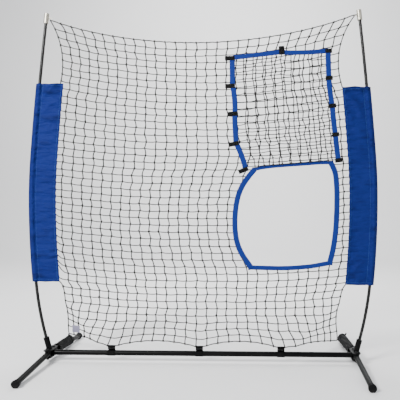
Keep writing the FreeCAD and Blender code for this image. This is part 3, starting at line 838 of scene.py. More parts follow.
def stitch_tree() -> bpy.types.GeometryNodeTree:
    """The tree that sews stitches along a line.

    Returns:
        The finished tree.
    """
    t = Tree("stitches")
    pitch, length = t.size("Pitch"), t.size("Stitch Length")
    width, material = t.size("Stitch Width"), t.size("Material", "Material")
    lines = t.node("GeometryNodeMeshToCurve", {"Mesh": t.shape})
    places = {"Curve": lines, "Length": pitch}
    points = add_node(t.group, "GeometryNodeCurveToPoints", places, {"mode": "LENGTH"}).outputs
    sewn = {key: points[key] for key in ("Points", "Rotation")}
    sewn["Instance"] = t.node("GeometryNodeMeshIcoSphere", {"Radius": 0.5, "Subdivisions": 1})
    sewn["Scale"] = t.node("ShaderNodeCombineXYZ", {"X": width, "Y": width, "Z": length})
    return t.close(t.node("GeometryNodeInstanceOnPoints", sewn), material)


class Sewing(Enum):
    """The kinds of stitching, each as its thread, its pitch and the thread's thickness."""

    TAPE = ("tape_thread", 0.0050, 0.0009)
    BANNER = ("blue_thread", 0.0060, 0.0010)
    TAB = ("grey_thread", 0.0042, 0.0007)
    WEBBING = ("grey_thread", 0.0045, 0.0008)
    LABEL = ("pale_thread", 0.0040, 0.0007)


def made(finish: Any) -> Any:
    """A workshop's field that holds a finish's material."""
    return field(default_factory=finish.material)


@dataclass
class Workshop:
    """The finishes and the trees that every sub-assembly shares."""

    steel: Any = made(PowderCoat())
    zinc: Any = made(BlackZinc())
    rod: Any = made(FibreRod())
    tip: Any = made(CapMetal())
    rubber: Any = made(CapRubber())
    twine: Any = made(NetTwine())
    rope: Any = made(NetTwine("border rope", (0.011, 0.0105, 0.010), (0.036, 0.034, 0.033)))
    # The sleeve cloth carries painted shade in its fold bands.
    sleeve: Any = made(
        WovenCloth("blue sleeve cloth", (0.0040, 0.0120, 0.108), (0.0058, 0.0190, 0.140), painted_crease_shade=0.85)
    )
    binding: Any = made(
        WovenCloth("blue binding tape", (0.0062, 0.0195, 0.150), (0.0095, 0.030, 0.200), threads=780.0)
    )
    webbing: Any = made(
        WovenCloth("black webbing", (0.0020, 0.0020, 0.0023), (0.0065, 0.0064, 0.0064), 420.0, 0.75, 0.0)
    )
    boot: Any = made(
        WovenCloth("black boot cloth", (0.0016, 0.0016, 0.0019), (0.0050, 0.0050, 0.0054), 640.0, 0.7, 0.0)
    )
    label: Any = made(
        WovenCloth("blank label cloth", (0.20, 0.19, 0.27), (0.29, 0.275, 0.36), 900.0, 0.6, 0.02)
    )
    blue_thread: Any = made(Thread("blue thread", (0.06, 0.17, 0.50)))
    tape_thread: Any = made(Thread("tape thread", (0.020, 0.075, 0.33)))
    pale_thread: Any = made(Thread("pale thread", (0.42, 0.46, 0.58)))
    grey_thread: Any = made(Thread("grey thread", (0.07, 0.07, 0.072)))
    twine_tree: Any = field(default_factory=twine_tree)
    rope_tree: Any = field(default_factory=rope_tree)
    stitch_tree: Any = field(default_factory=stitch_tree)
    rope_lay: float = 0.022
    rope_step: float = 0.0032
    stitch_share: float = 0.72

    def rope_along(self, name: str, runs: Runs, radius: float) -> bpy.types.Object:
        """Laid rope along runs of points.

        Args:
            name: The rope's name.
            runs: The points of each run.
            radius: The rope's radius.

        Returns:
            The rope.
        """
        sizes = {"Rope Radius": radius, "Lay Length": self.rope_lay, "Step": self.rope_step}
        sizes["Material"] = self.rope
        return run_tree(lines_object(name, runs), self.rope_tree, sizes)

    def stitches(self, name: str, runs: Runs, kind: Sewing) -> bpy.types.Object:
        """Stitches along runs of points.

        Args:
            name: Their name.
            runs: The points of each seam.
            kind: The kind of stitching.

        Returns:
            The stitches.
        """
        thread, pitch, width = kind.value
        sizes = {"Pitch": pitch, "Stitch Length": pitch * self.stitch_share, "Stitch Width": width}
        sizes["Material"] = getattr(self, thread)
        return run_tree(lines_object(name, runs), self.stitch_tree, sizes)


# The poles' line


@dataclass(frozen=True)
class PoleLine:
    """The centreline of the right pole, as tangent arcs; the left one mirrors it."""

    socket_lean: float = 15.5
    knots: tuple[Point2, ...] = ((0.150, 15.5), (0.487, 5.5), (1.000, 0.0), (1.250, -4.0), (2.068, -6.4))

    def lean(self, z: float) -> Point2:
        """The pole at a height.

        Args:
            z: The height.

        Returns:
            Its X and its outward lean in radians.
        """
        low_z, low_lean = self.knots[0]
        a = math.radians(low_lean)
        x = HUB_X + (low_z - RAIL_Z) * math.tan(math.radians(self.socket_lean))
        if z <= low_z:
            return x - (low_z - z) * math.tan(a), a
        for (z1, lean1), (z2, lean2) in zip(self.knots, self.knots[1:]):
            a1, a2 = math.radians(lean1), math.radians(lean2)
            radius = (z2 - z1) / (math.sin(a1) - math.sin(a2))
            top = min(z, z2)
            a = math.asin(math.sin(a1) - (top - z1) / radius)
            x += radius * (math.cos(a) - math.cos(a1))
            if z <= z2:
                return x, a
        return x + (z - z2) * math.tan(a), a

    def across(self, z: float, offset: float) -> Point2:
        """The point at an offset across the pole."""
        x, a = self.lean(z)
        return x + offset * math.cos(a), z - offset * math.sin(a)

    def height_for(self, z: float, offset: float) -> float:
        """The pole height whose point across lies at height z.

        Args:
            z: The height.
            offset: How far outward the point lies.

        Returns:
            The pole's height.
        """
        found = z
        for _ in range(6):
            found = z + offset * math.sin(self.lean(found)[1])
        return found

    def offset_x(self, z: float, offset: float) -> float:
        """X of the line at an offset from the pole, at height z."""
        return self.across(self.height_for(z, offset), offset)[0]


POLE = PoleLine()


# The net


class Region(Enum):
    """Where a point of the net lies."""

    FLAT = "flat"
    LEFT = "left"
    RIGHT = "right"
    WINDOW = "window"
    HEM = "hem"


@dataclass(frozen=True)
class Window:
    """The throw-through window's outline, as the centreline of its binding.

    Attributes:
        left, right, sill, head: The marks of its four sides.
        box: From where to where it reaches across, and then up. The net lies flat round it.
        lap, head_lap: How far outside the outline the net ends, at the sides and sill and at the head.
        over: How far above and below its ends the sides are still followed.
        draw: How far the bowed left side draws the net to the left, at most.
        still: How far left the net stays where it is.
        faded: How far inside the right side the draw has faded away.
        bow_reach: How far above and below the sides the draw still reaches.
        recoil, recoil_above, recoil_spread: How far the net gives way above the window, and where.
    """

    left: tuple[Point2, ...] = (
        (0.303, 0.581), (0.2515, 0.655), (0.2195, 0.728), (0.2055, 0.815), (0.2065, 0.908),
        (0.2205, 1.000), (0.247, 1.071), (0.282, 1.125), (0.325, 1.178),
    )
    right: tuple[Point2, ...] = (
        (0.778, 0.610), (0.7975, 0.690), (0.812, 0.785), (0.819, 0.880), (0.822, 0.980),
        (0.8212, 1.055), (0.8165, 1.125), (0.806, 1.172), (0.786, 1.215),
    )
    sill: tuple[Point2, ...] = (
        (0.303, 0.581), (0.377, 0.579), (0.450, 0.5775), (0.523, 0.578), (0.596, 0.5825), (0.670, 0.590),
        (0.778, 0.610),
    )
    head: tuple[Point2, ...] = (
        (0.325, 1.178), (0.375, 1.188), (0.450, 1.197), (0.600, 1.208), (0.720, 1.2165), (0.786, 1.217),
    )
    box: tuple[Point2, Point2] = ((0.20, 0.825), (0.575, 1.215))
    lap: float = 0.007
    head_lap: float = 0.003
    draw: float = 0.073
    recoil: float = 0.011
    still: float = 0.80
    over: float = 0.03
    faded: float = 0.03
    bow_reach: float = 0.035
    recoil_above: float = 0.13
    recoil_spread: float = 0.09

    @cached_property
    def sides(self) -> dict[int, np.ndarray]:
        """The two upright sides as smooth lines, with height before place across."""
        return {side: np.array(through(marks))[:, ::-1] for side, marks in ((-1, self.left), (1, self.right))}

    @cached_property
    def levels(self) -> dict[int, np.ndarray]:
        """The sill and the head as smooth lines."""
        return {side: np.array(through(marks)) for side, marks in ((-1, self.sill), (1, self.head))}

    def side_x(self, side: int, z: float) -> float:
        """X of an upright side at a height."""
        return float(np.interp(z, *self.sides[side].T))

    def level_z(self, side: int, x: float) -> float:
        """Height of the sill, as side -1, or of the head, as side 1, at a place across."""
        return float(np.interp(x, *self.levels[side].T))

    def holds(self, x: float, z: float) -> bool:
        """Whether a point lies inside the outline.

        Args:
            x, z: The point.

        Returns:
            True inside it.
        """
        if not self.sill[0][1] - self.over < z < self.right[-1][1] + self.over:
            return False
        if not self.side_x(-1, z) - self.lap < x < self.side_x(1, z) + self.lap:
            return False
        return self.level_z(-1, x) - self.lap < z < self.level_z(1, x) + self.head_lap

    def apart(self, x: float, z: float) -> float:
        """How far a point is from the box round the outline; 0 inside it."""
        (x0, x1), (z0, z1) = self.box
        return math.hypot(max(x0 - x, x - x1, 0.0), max(z0 - z, z - z1, 0.0))

    def pull(self, x: float, z: float) -> float:
        """How far the window's bowed sides draw the net sideways at a point.

        Args:
            x: The undisturbed place across.
            z: The height.

        Returns:
            The shift in X.
        """
        low, high = self.left[0][1], self.left[-1][1]
        share = 1 - ((z - (low + high) / 2) / ((high - low) / 2 + self.bow_reach)) ** 2
        edge, far = self.left[0][0], self.right[0][0] - self.faded
        if x < edge:
            reach = max(x + self.still, 0.0) / (edge + self.still)
        else:
            reach = max(1 - (x - edge) / (far - edge), 0.0)
        above = self.recoil * math.exp(-(((z - high - self.recoil_above) / self.recoil_spread) ** 2))
        return (above - self.draw * max(share, 0.0)) * reach


@dataclass(frozen=True)
class Corner:
    """A lower corner of the net, which folds back to the boot on the rear leg.

    Attributes:
        side: -1 on the left, 1 on the right.
        top, hem: The two ends of the fold, at the seam's foot and on the lower edge.
        tip: Where the corner is tied.
        ease: The length over which the fold is rounded.
    """

    side: int
    top: Point2
    hem: Point2
    tip: Vector
    ease: float = 0.075

    @cached_property
    def base(self) -> Vector:
        """The foot of the fold."""
        return Vector((self.hem[0], SCREEN_Y, self.hem[1]))

    @cached_property
    def middle(self) -> Vector:
        """The middle of the fold."""
        return (Vector((self.top[0], SCREEN_Y, self.top[1])) + self.base) / 2

    @cached_property
    def along(self) -> tuple[Vector, Vector]:
        """The fold's direction from hem to top, and the outward direction in the flat."""
        run = (Vector((self.top[0], 0, self.top[1])) - Vector((self.hem[0], 0, self.hem[1]))).normalized()
        return run, Vector((run.z, 0, -run.x)) * self.side

    @cached_property
    def turned(self) -> tuple[float, float]:
        """The angle that the corner has turned through past its rounded fold, and its full depth.

        The fold eases round over its first few centimetres, so the corner turns a little further than
        a sharp crease would, and still ends at its tip.

        Returns:
            The angle in radians and the depth.
        """
        run, out = self.along
        back = self.tip - self.base
        back -= run * back.dot(run)
        sharp, depth = math.atan2(back.y, back.dot(out)), back.length

        def short(angle: float) -> bool:
            """Whether a turn by an angle doesn't reach the tip."""
            return depth * math.sin(angle - sharp) < self.ease / angle * (1 - math.cos(angle))

        angle = halved(sharp, sharp + 1.0, short, 40)
        radius = self.ease / angle
        ahead = depth * math.cos(sharp) - radius * math.sin(angle)
        aside = depth * math.sin(sharp) - radius * (1 - math.cos(angle))
        return angle, self.ease + ahead * math.cos(angle) + aside * math.sin(angle)

    def laid_flat(self) -> Point2:
        """Where the corner's tip would be if the net weren't folded.

        Returns:
            Its X and Z.
        """
        run, out = self.along
        flat = self.base + run * (self.tip - self.base).dot(run) + out * self.turned[1]
        return flat.x, flat.z

    def depth(self, x: float, z: float) -> float:
        """How far a flat point lies beyond the fold."""
        out = self.along[1]
        return (x - self.hem[0]) * out.x + (z - self.hem[1]) * out.z

    def folded(self, x: float, z: float, y: float) -> Vector:
        """A flat point beyond the fold, turned back with the corner.

        Args:
            x: Its place across in the flat.
            z: Its height in the flat.
            y: Its small offset off the sheet.

        Returns:
            Its real place.
        """
        run, out = self.along
        flat = Vector((x - self.base.x, 0, z - self.base.z))
        along, away = flat.dot(run), max(flat.dot(out), 0.0)
        full = self.turned[0]
        angle = full * min(away / self.ease, 1.0)
        radius, rest = self.ease / full, max(away - self.ease, 0.0)
        ahead = radius * math.sin(angle) + rest * math.cos(angle)
        aside = radius * (1 - math.cos(angle)) + rest * math.sin(angle)
        deep = Vector((0, 1, 0))
        normal = deep * math.cos(angle) - out * math.sin(angle)
        return self.base + run * along + out * ahead + deep * aside + normal * y


def seam_corner(side: int) -> Point2:
    """The point of the net's seam at the foot of a sleeve."""
    low = SLEEVE_RANGE[side][0]
    return side * POLE.offset_x(low, SEAM), low


def corner_of(side: int) -> Corner:
    """The folded lower corner of one side."""
    strap = STRAPS[0] if side < 0 else STRAPS[-1]
    return Corner(side, seam_corner(side), (strap + side * STRAP_HALF, BOTTOM_Z), CORNER_TIPS[side])


@dataclass(frozen=True)
class Smile:
    """The shallow curve in which a row of the net hangs.

    Attributes:
        curve: How fast it rises, by the square of the distance.
        middle: Where its lowest point is, across.
        level: How far out from there it stays level.
        drop: How far its lowest point is below a straight row.
    """

    curve: float
    middle: float
    level: float
    drop: float

    def at(self, x: float) -> float:
        """The row's height at a place across, over that of a straight row."""
        return self.curve * max(abs(x - self.middle) - self.level, 0.0) ** 2 - self.drop


@dataclass
class Lattice:
    """The knotted net as a grid of twine that its edges draw out of square.

    The lifts, waists and top tucks are for the left and then the right side. A hump is two powers, of
    its rise and of its fall, and the peak of its bare form.

    Attributes:
        top_corner: How far out and how high the upper corners are, before their lifts.
        waists: Where the free upper edges are drawn in most.
        top_tucks: How far the edges reach under the sleeves' tops.
        hem_rise: How far the lower edge of a folded corner bows up.
        hem_rows: How many rows follow the scallops of the lower edge.
        upper_from, top_from: The shares up at which the upper smile and the top's sag set in.
        side_hold: How steeply the hold of a side edge fades inward.
        tuck_low, tuck_high: Over what height the edge slips under a sleeve at its ends.
        lacing: How far the left edge's cells are drawn up to it.
        stagger, loose, loose_off: How far the knots stand out of line, at most.
        flat_round_window: Over what distance the billow sets in round the window.
        sleeve_hem: How far inside a sleeve's ends, and past its seam, the net is hidden.
    """

    columns: int = 29
    rows: int = 44
    half_width: float = 0.926
    foot_z: float = 0.125
    cell: float = ROW_GAP
    top_corner: Point2 = (0.935, 2.0997)
    top_sag_z: float = 1.960
    top_slack: float = 0.009
    lifts: Point2 = (0.0, 0.014)
    waists: tuple[Point2, Point2] = ((0.870, 1.945), (0.848, 1.945))
    top_tucks: Point2 = (0.018, 0.0)
    scallop: float = 0.034
    side_bow: float = 0.066
    side_hump: Triple = (1.5, 0.8, 0.226)
    hem_rise: float = 0.038
    hem_hump: Triple = (0.9, 1.5, 0.204)
    hem_rows: int = 6
    hem_fade: float = 1.5
    lower_smile: Smile = Smile(0.089, 0.05, 0.17, 0.0086)
    upper_smile: Smile = Smile(0.126, 0.04, 0.0, 0.0278)
    upper_from: float = 0.55
    top_from: float = 0.86
    side_hold: float = 4.0
    under_sleeve: float = 0.027
    tuck_low: float = 0.21
    tuck_high: float = 0.07
    lacing: float = 0.045
    lacing_low: float = 0.06
    lacing_high: Point2 = (0.85, 1.05)
    stagger: float = 0.0031
    loose: float = 0.0027
    loose_off: float = 0.0010
    off_plane: float = 0.0025
    billow: float = 0.0035
    flat_round_window: float = 0.12
    corner_reach: float = 0.02
    sleeve_hem: Point2 = (0.003, 0.005)
    window: Window = field(default_factory=Window)
    seed: int = 11

    def __post_init__(self) -> None:
        """Works out the edges and the knots' small shifts."""
        self.corners = {side: corner_of(side) for side in (-1, 1)}
        self.flat_tips = {side: corner.laid_flat() for side, corner in self.corners.items()}
        self.met: dict[tuple[int, float], float] = {}
        shifts = np.random.RandomState(self.seed).uniform(-1, 1, (self.columns + 1, self.rows + 1, 3))
        self.shifts = shifts * np.array([self.loose, self.loose_off, self.loose * 0.8])

    def top_z(self, x: float) -> float:
        """Height of the sagging top edge.

        Args:
            x: The place across.

        Returns:
            The height there.
        """
        ends = [self.corner_at(side) for side in (-1, 1)]
        tx = ends[1][0]
        held = min(max(x, -tx), tx)
        slack = self.top_slack * (1 - (held / tx) ** 6)
        return arc_z([(-tx, ends[0][1]), (0.0, self.top_sag_z), ends[1]], held) - slack

    def corner_at(self, side: int) -> Point2:
        """How far out and how high an upper corner is."""
        return self.top_corner[0], self.top_corner[1] + of_side(self.lifts, side)

    def bottom_z(self, x: float) -> float:
        """Height of the scalloped bottom edge, with the corners laid flat.

        Args:
            x: The place across.

        Returns:
            The height there.
        """
        for left, right in zip(STRAPS, STRAPS[1:]):
            a, b = left + STRAP_HALF, right - STRAP_HALF
            if a < x < b:
                t = 2 * (x - a) / (b - a) - 1
                return BOTTOM_Z + self.scallop * (1 - t * t)
        for side in (-1, 1):
            hem, tip = self.corners[side].hem, self.flat_tips[side]
            t = (x - hem[0]) / (tip[0] - hem[0])
            if t > 0:
                t = min(t, 1.0)
                return hem[1] + (tip[1] - hem[1]) * t + self.hem_rise * hump(t, *self.hem_hump)
        return BOTTOM_Z

    def height(self, x: float, v: float) -> float:
        """Height of a row at a place across.

        The rows hang in a shallow smile that grows to the top edge's sag, and the lowest few follow
        the scallops of the bottom edge.

        Args:
            x: The place across.
            v: The row's share up, from the bottom edge.

        Returns:
            The height.
        """
        tall = self.cell * self.rows
        lower, upper = self.lower_smile.at(x), self.upper_smile.at(x)
        bend = lower + (upper - lower) * smooth(self.upper_from, self.top_from, v)
        bend += (self.top_z(x) - self.foot_z - tall - bend) * smooth(self.top_from, 1.0, v)
        held = max(1 - v * self.rows / self.hem_rows, 0.0) ** self.hem_fade
        bend += (self.bottom_z(x) - self.foot_z - bend) * held
        return self.foot_z + tall * v + bend

    def seam_x(self, z: float) -> float:
        """How far out the sleeves' seams stand at a height."""
        return POLE.offset_x(z, SEAM)

    def side_x(self, side: int, z: float) -> float:
        """X of a side edge at a height: a free rope, but tucked under the sleeve along its length.

        Args:
            side: -1 on the left, 1 on the right.
            z: The height.

        Returns:
            X of the edge, with the corners laid flat.
        """
        low, high = SLEEVE_RANGE[side]
        top_tuck = of_side(self.top_tucks, side)
        if z > high:
            top = self.corner_at(side)
            points = [(self.seam_x(high) + top_tuck, high), of_side(self.waists, side), top]
            return side * arc_x(points, min(z, top[1]))
        if z >= low:
            tuck = self.under_sleeve * smooth(low, low + self.tuck_low, z)
            tuck += (top_tuck - tuck) * smooth(high - self.tuck_high, high, z)
            return side * (self.seam_x(z) + tuck)
        (tx, tz), (fx, fz) = self.flat_tips[side], seam_corner(side)
        t = min(max((z - tz) / (fz - tz), 0.0), 1.0)
        return tx + (fx - tx) * t - side * self.side_bow * hump(t, *self.side_hump)

    def edge_x(self, side: int, v: float) -> float:
        """X of a side edge where a row meets it.

        Args:
            side: -1 on the left, 1 on the right.
            v: The row's share up.

        Returns:
            X of the edge, with the corners laid flat.
        """
        key = (side, round(v, 7))
        if key not in self.met:
            x = side * self.half_width
            for _ in range(12):
                x = self.side_x(side, self.height(x, v))
            self.met[key] = x
        return self.met[key]

    def spot(self, u: float, v: float) -> Point2:
        """A point of the net, by shares across and up.

        Args:
            u: The share across, from the left edge.
            v: The share up, from the bottom edge.

        Returns:
            Its X and Z with the corners laid flat.
        """
        x = (2 * u - 1) * self.half_width
        for side, hold in ((-1, (1 - u) ** self.side_hold), (1, u**self.side_hold)):
            x += hold * (self.edge_x(side, v) - side * self.half_width)
        z = self.height(x, v)
        return x + self.window.pull(x, z), z

    def at(self, i: float, j: float) -> tuple[float, float, float]:
        """A point of the net with its small shifts.

        Args:
            i: The column, which may be a fraction.
            j: The row, which may be a fraction.

        Returns:
            X, Z and the offset off the sheet.
        """
        i0, j0 = min(int(i), self.columns - 1), min(int(j), self.rows - 1)
        fi, fj = i - i0, j - j0
        shift = np.zeros(3)
        for di, wi in ((0, 1 - fi), (1, fi)):
            for dj, wj in ((0, 1 - fj), (1, fj)):
                if wi * wj and 0 < i0 + di < self.columns and 0 < j0 + dj < self.rows:
                    one = self.shifts[i0 + di, j0 + dj].copy()
                    one[0] += self.stagger * turnabout(j0 + dj)
                    shift += one * (wi * wj)
        x, z = self.spot(i / self.columns, j / self.rows)
        off = self.off_plane + self.billow * wave((x, 0, z), 1.6, 3.0)
        off *= smooth(0.0, self.flat_round_window, self.window.apart(x, z))
        if i < 1:
            low = SLEEVE_RANGE[-1][0]
            held = smooth(low, low + self.lacing_low, z) * (1 - smooth(*self.lacing_high, z))
            z += self.lacing * (1 - i) ** 2 * held
        return x + shift[0], z + shift[2], shift[1] + off

    def region(self, x: float, z: float) -> Region:
        """Where a flat point lies.

        Args:
            x, z: The flat point.

        Returns:
            Its region.
        """
        for side, name in ((-1, Region.LEFT), (1, Region.RIGHT)):
            low, high = SLEEVE_RANGE[side]
            if z < low + self.corner_reach and self.corners[side].depth(x, z) > 0:
                return name
            inside, beyond = self.sleeve_hem
            if low + inside < z < high - inside and side * x > self.seam_x(z) + beyond:
                return Region.HEM
        return Region.WINDOW if self.window.holds(x, z) else Region.FLAT

    def real(self, region: Region, x: float, z: float, y: float) -> Vector:
        """The real place of a flat point of a region.

        Args:
            region: The point's region.
            x, z: The flat point.
            y: Its offset off the sheet.

        Returns:
            The place.
        """
        if region is Region.LEFT:
            return self.corners[-1].folded(x, z, y)
        if region is Region.RIGHT:
            return self.corners[1].folded(x, z, y)
        return Vector((x, SCREEN_Y + y, z))

    def placed(self, i: float, j: float, dip: float = 0.0) -> tuple[Region, Vector]:
        """The region and the real place of a point of the net.

        Args:
            i: The column, which may be a fraction.
            j: The row, which may be a fraction.
            dip: How far the point hangs below its row.

        Returns:
            The region and the place.
        """
        x, z, y = self.at(i, j)
        region = self.region(x, z)
        return region, self.real(region, x, z - dip, y)


@dataclass(frozen=True)
class TwineSize:
    """The sizes of the twine and of its crossed joints."""

    radius: float = 0.0030
    upright: float = 1.22
    joint_length: float = 0.0165
    joint_width: float = 0.0106
    lean: float = 0.20


@dataclass
class Strands:
    """The loose edges and knot points of one piece of net."""

    verts: list[Vector] = field(default_factory=list)
    edges: list[tuple[int, int]] = field(default_factory=list)
    knots: list[Vector] = field(default_factory=list)
    stout: list[float] = field(default_factory=list)

    def add_run(self, points: Sequence[Vector], stout: float = 1.0) -> None:
        """Adds a run of twine, with its thickness as a multiple of the net's.

        Args:
            points: The run's points.
            stout: The thickness.
        """
        base = len(self.verts)
        self.verts.extend(points)
        self.stout.extend([stout] * len(points))
        self.edges.extend((base + i, base + i + 1) for i in range(len(points) - 1))

    def build(self, name: str, shop: Workshop, twine: TwineSize, seed: int) -> bpy.types.Object:
        """Turns the runs and knots into a mesh of twine.

        Args:
            name: The piece's name.
            shop: The shared finishes and trees.
            twine: The twine's sizes.
            seed: The seed for the joints' turns.

        Returns:
            The piece.
        """
        verts = [*self.verts, *self.knots]
        obj = place_mesh(name, verts, [], self.edges)
        mark = obj.data.attributes.new("knot", "BOOLEAN", "POINT")
        mark.data.foreach_set("value", [False] * len(self.verts) + [True] * len(self.knots))
        stout = obj.data.attributes.new("stout", "FLOAT", "POINT")
        stout.data.foreach_set("value", self.stout + [1.0] * len(self.knots))
        sizes = {"Twine Radius": twine.radius, "Sides": 5, "Seed": seed, "Material": shop.twine}
        sizes |= {"Joint Length": twine.joint_length, "Joint Width": twine.joint_width}
        sizes["Joint Lean"] = twine.lean
        return run_tree(obj, shop.twine_tree, sizes)


@dataclass
class MainNet:
    """The knotted net, its folded corners and the ropes along its edges."""

    shop: Workshop
    lattice: Lattice = field(default_factory=Lattice)
    twine: TwineSize = TwineSize()
    rope_radius: float = 0.0034
    steps: int = 3
    sway: float = 0.0024
    lean: float = 0.0012
    sag: float = 0.0012
    dip: float = 0.0010
    loop_depth: float = 0.008
    tie_sag: float = 0.002

    def trace(self, strands: dict[Region, Strands], start: Point2, end: Point2, bow: float) -> None:
        """Adds the twine between two knots, cut where it meets the window or a fold.

        Args:
            strands: What each region has so far.
            start: Column and row of the first knot.
            end: Column and row of the second knot.
            bow: How far the twine bows off its line.
        """
        lattice = self.lattice
        level = start[1] == end[1]
        stout = 1.0 if level else self.twine.upright

        def point(t: float) -> tuple[float, float, float]:
            """The flat point at a share of the way, with its offset off the sheet.

            Args:
                t: The share.

            Returns:
                X, Z and the offset.
            """
            x, z, y = lattice.at(start[0] + (end[0] - start[0]) * t, start[1] + (end[1] - start[1]) * t)
            off = bow * 4 * t * (1 - t)
            return (x, z + off, y) if level else (x + off, z, y)

        runs: list[tuple[Region, float, float]] = []
        cuts = [k / self.steps for k in range(self.steps + 1)]
        for t0, t1 in zip(cuts, cuts[1:]):
            first, last = (lattice.region(*point(t)[:2]) for t in (t0, t1))
            if first is last:
                runs.append((first, t0, t1))
                continue
            cut = halved(t0, t1, lambda t: lattice.region(*point(t)[:2]) is first, 9)
            runs += [(first, t0, cut), (last, cut, t1)]
        chains: list[tuple[Region, list[float]]] = []
        for region, t0, t1 in runs:
            if t1 <= t0:
                continue
            if not chains or chains[-1][0] is not region:
                chains.append((region, [t0]))
            chains[-1][1].append(t1)
        for region, chain in chains:
            if region not in (Region.WINDOW, Region.HEM):
                strands[region].add_run([lattice.real(region, *point(t)) for t in chain], stout)

    def tie(self, strands: dict[Region, Strands], i: int, j: int) -> None:
        """Marks the knot at a column and a row."""
        region, place = self.lattice.placed(i, j)
        strands[region].knots.append(place)

    def weave(self) -> dict[Region, Strands]:
        """Lays every length of twine and marks every knot.

        Returns:
            What each region holds.
        """
        lattice = self.lattice
        strands = {region: Strands() for region in Region}
        columns, rows = lattice.columns, lattice.rows
        bows = np.random.RandomState(lattice.seed + 1).uniform(-1, 1, (columns + 1, rows + 1, 2))
        for i in range(columns + 1):
            for j in range(rows + 1):
                if j < rows and 0 < i < columns:
                    sway = self.sway * bows[i, j, 0] + self.lean * turnabout(j)
                    self.trace(strands, (i, j), (i, j + 1), sway)
                if i < columns and 0 < j < rows:
                    self.trace(strands, (i, j), (i + 1, j), -self.sag - self.sag * abs(bows[i, j, 1]))
                if 0 < i < columns and 0 < j < rows:
                    self.tie(strands, i, j)
        self.tie_edges(strands)
        return strands

    def tie_edges(self, strands: dict[Region, Strands]) -> None:
        """Adds the knots on the border ropes.

        Args:
            strands: What each region has so far.
        """
        lattice = self.lattice
        for side, i in ((-1, 0), (1, lattice.columns)):
            low, high = SLEEVE_RANGE[side]
            for j in range(1, lattice.rows):
                if not low < lattice.at(i, j)[1] < high:
                    self.tie(strands, i, j)
        for i in range(1, lattice.columns):
            for j in (0, lattice.rows):
                self.tie(strands, i, j)

    def edge_run(self, columns: bool, fixed: int, start: float, end: float, fine: int = 6) -> list[Vector]:
        """Points along an edge of the net.

        Args:
            columns: Whether the run goes across, along a row.
            fixed: The row or column of the edge.
            start: Where it starts, in columns or rows.
            end: Where it ends.
            fine: Points for each cell.

        Returns:
            The points.
        """
        count = max(2, int(abs(end - start) * fine))
        points = []
        for k in range(count + 1):
            t = start + (end - start) * k / count
            dip = self.dip * math.cos(2 * math.pi * t)
            spot = (t, fixed, dip) if columns else (fixed, t)
            points.append(self.lattice.placed(*spot)[1])
        return points

    def row_at(self, side: int, z: float) -> float:
        """The row of a side edge at a height."""
        rows, across = self.lattice.rows, (side + 1) / 2
        return halved(0.0, float(rows), lambda j: self.lattice.spot(across, j / rows)[1] < z)

    def column_at(self, x: float) -> float:
        """The column of the bottom edge at a place across."""
        columns = self.lattice.columns
        return halved(0.0, float(columns), lambda i: self.lattice.spot(i / columns, 0.0)[0] < x)

    def build(self) -> None:
        """Builds the net, its corners and its ropes, and ties the net and its top and bottom ropes to the
        base.
        """
        strands = self.weave()
        net = strands[Region.FLAT].build("knotted_net", self.shop, self.twine, 5)
        panels = [name for name in frame["nodes"] if name.startswith("net_")]
        hand_over(net, "net_cord", *panels, body="base")
        lattice = self.lattice
        rows = {side: [self.row_at(side, z) for z in SLEEVE_RANGE[side]] for side in (-1, 1)}
        ends = {-1: 0, 1: lattice.columns}
        top = self.edge_run(False, 0, rows[-1][1], lattice.rows)
        top += self.edge_run(True, lattice.rows, 0, lattice.columns)[1:]
        top += self.edge_run(False, lattice.columns, lattice.rows, rows[1][1])[1:]
        ropes = {"top_border_rope": top}
        hems = {side: self.column_at(corner.hem[0]) for side, corner in lattice.corners.items()}
        ropes["bottom_border_rope"] = self.edge_run(True, 0, hems[-1], hems[1])
        for name, run in ropes.items():
            rope = self.shop.rope_along(f"{name}_laid", [run], self.rope_radius)
            hand_over(rope, "border_rope", name, body="base")
        for name, side in SIDES.items():
            region = Region.LEFT if side < 0 else Region.RIGHT
            corner = lattice.corners[side]
            twine = strands[region].build(f"{name}_corner_twine", self.shop, self.twine, 7 + side)
            hand_over(twine, "net_cord", f"{name}_corner_net")
            down = self.edge_run(False, ends[side], rows[side][0], 0.0)
            hem = self.edge_run(True, 0, ends[side], hems[side])
            runs = [down, hem, self.tie_run(name, corner.tip)]
            rope = self.shop.rope_along(f"{name}_corner_rope_laid", runs, self.rope_radius)
            hand_over(rope, "border_rope", f"{name}_corner_rope")
            for piece in (twine, rope):
                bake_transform(piece)

    def tie_run(self, name: str, tip: Vector) -> list[Vector]:
        """The tie from the net's corner to the loop on the boot's band.

        Args:
            name: The side's name.
            tip: The net's corner.

        Returns:
            The tie's points.
        """
        low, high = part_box(f"{name}_boot_band")
        loop = Vector(((low[0] + high[0]) / 2, (low[1] + high[1]) / 2, high[2] - self.loop_depth))
        return [tip, (tip + loop) / 2 + Vector((0, 0, -self.tie_sag)), loop]


# Bindings and flap


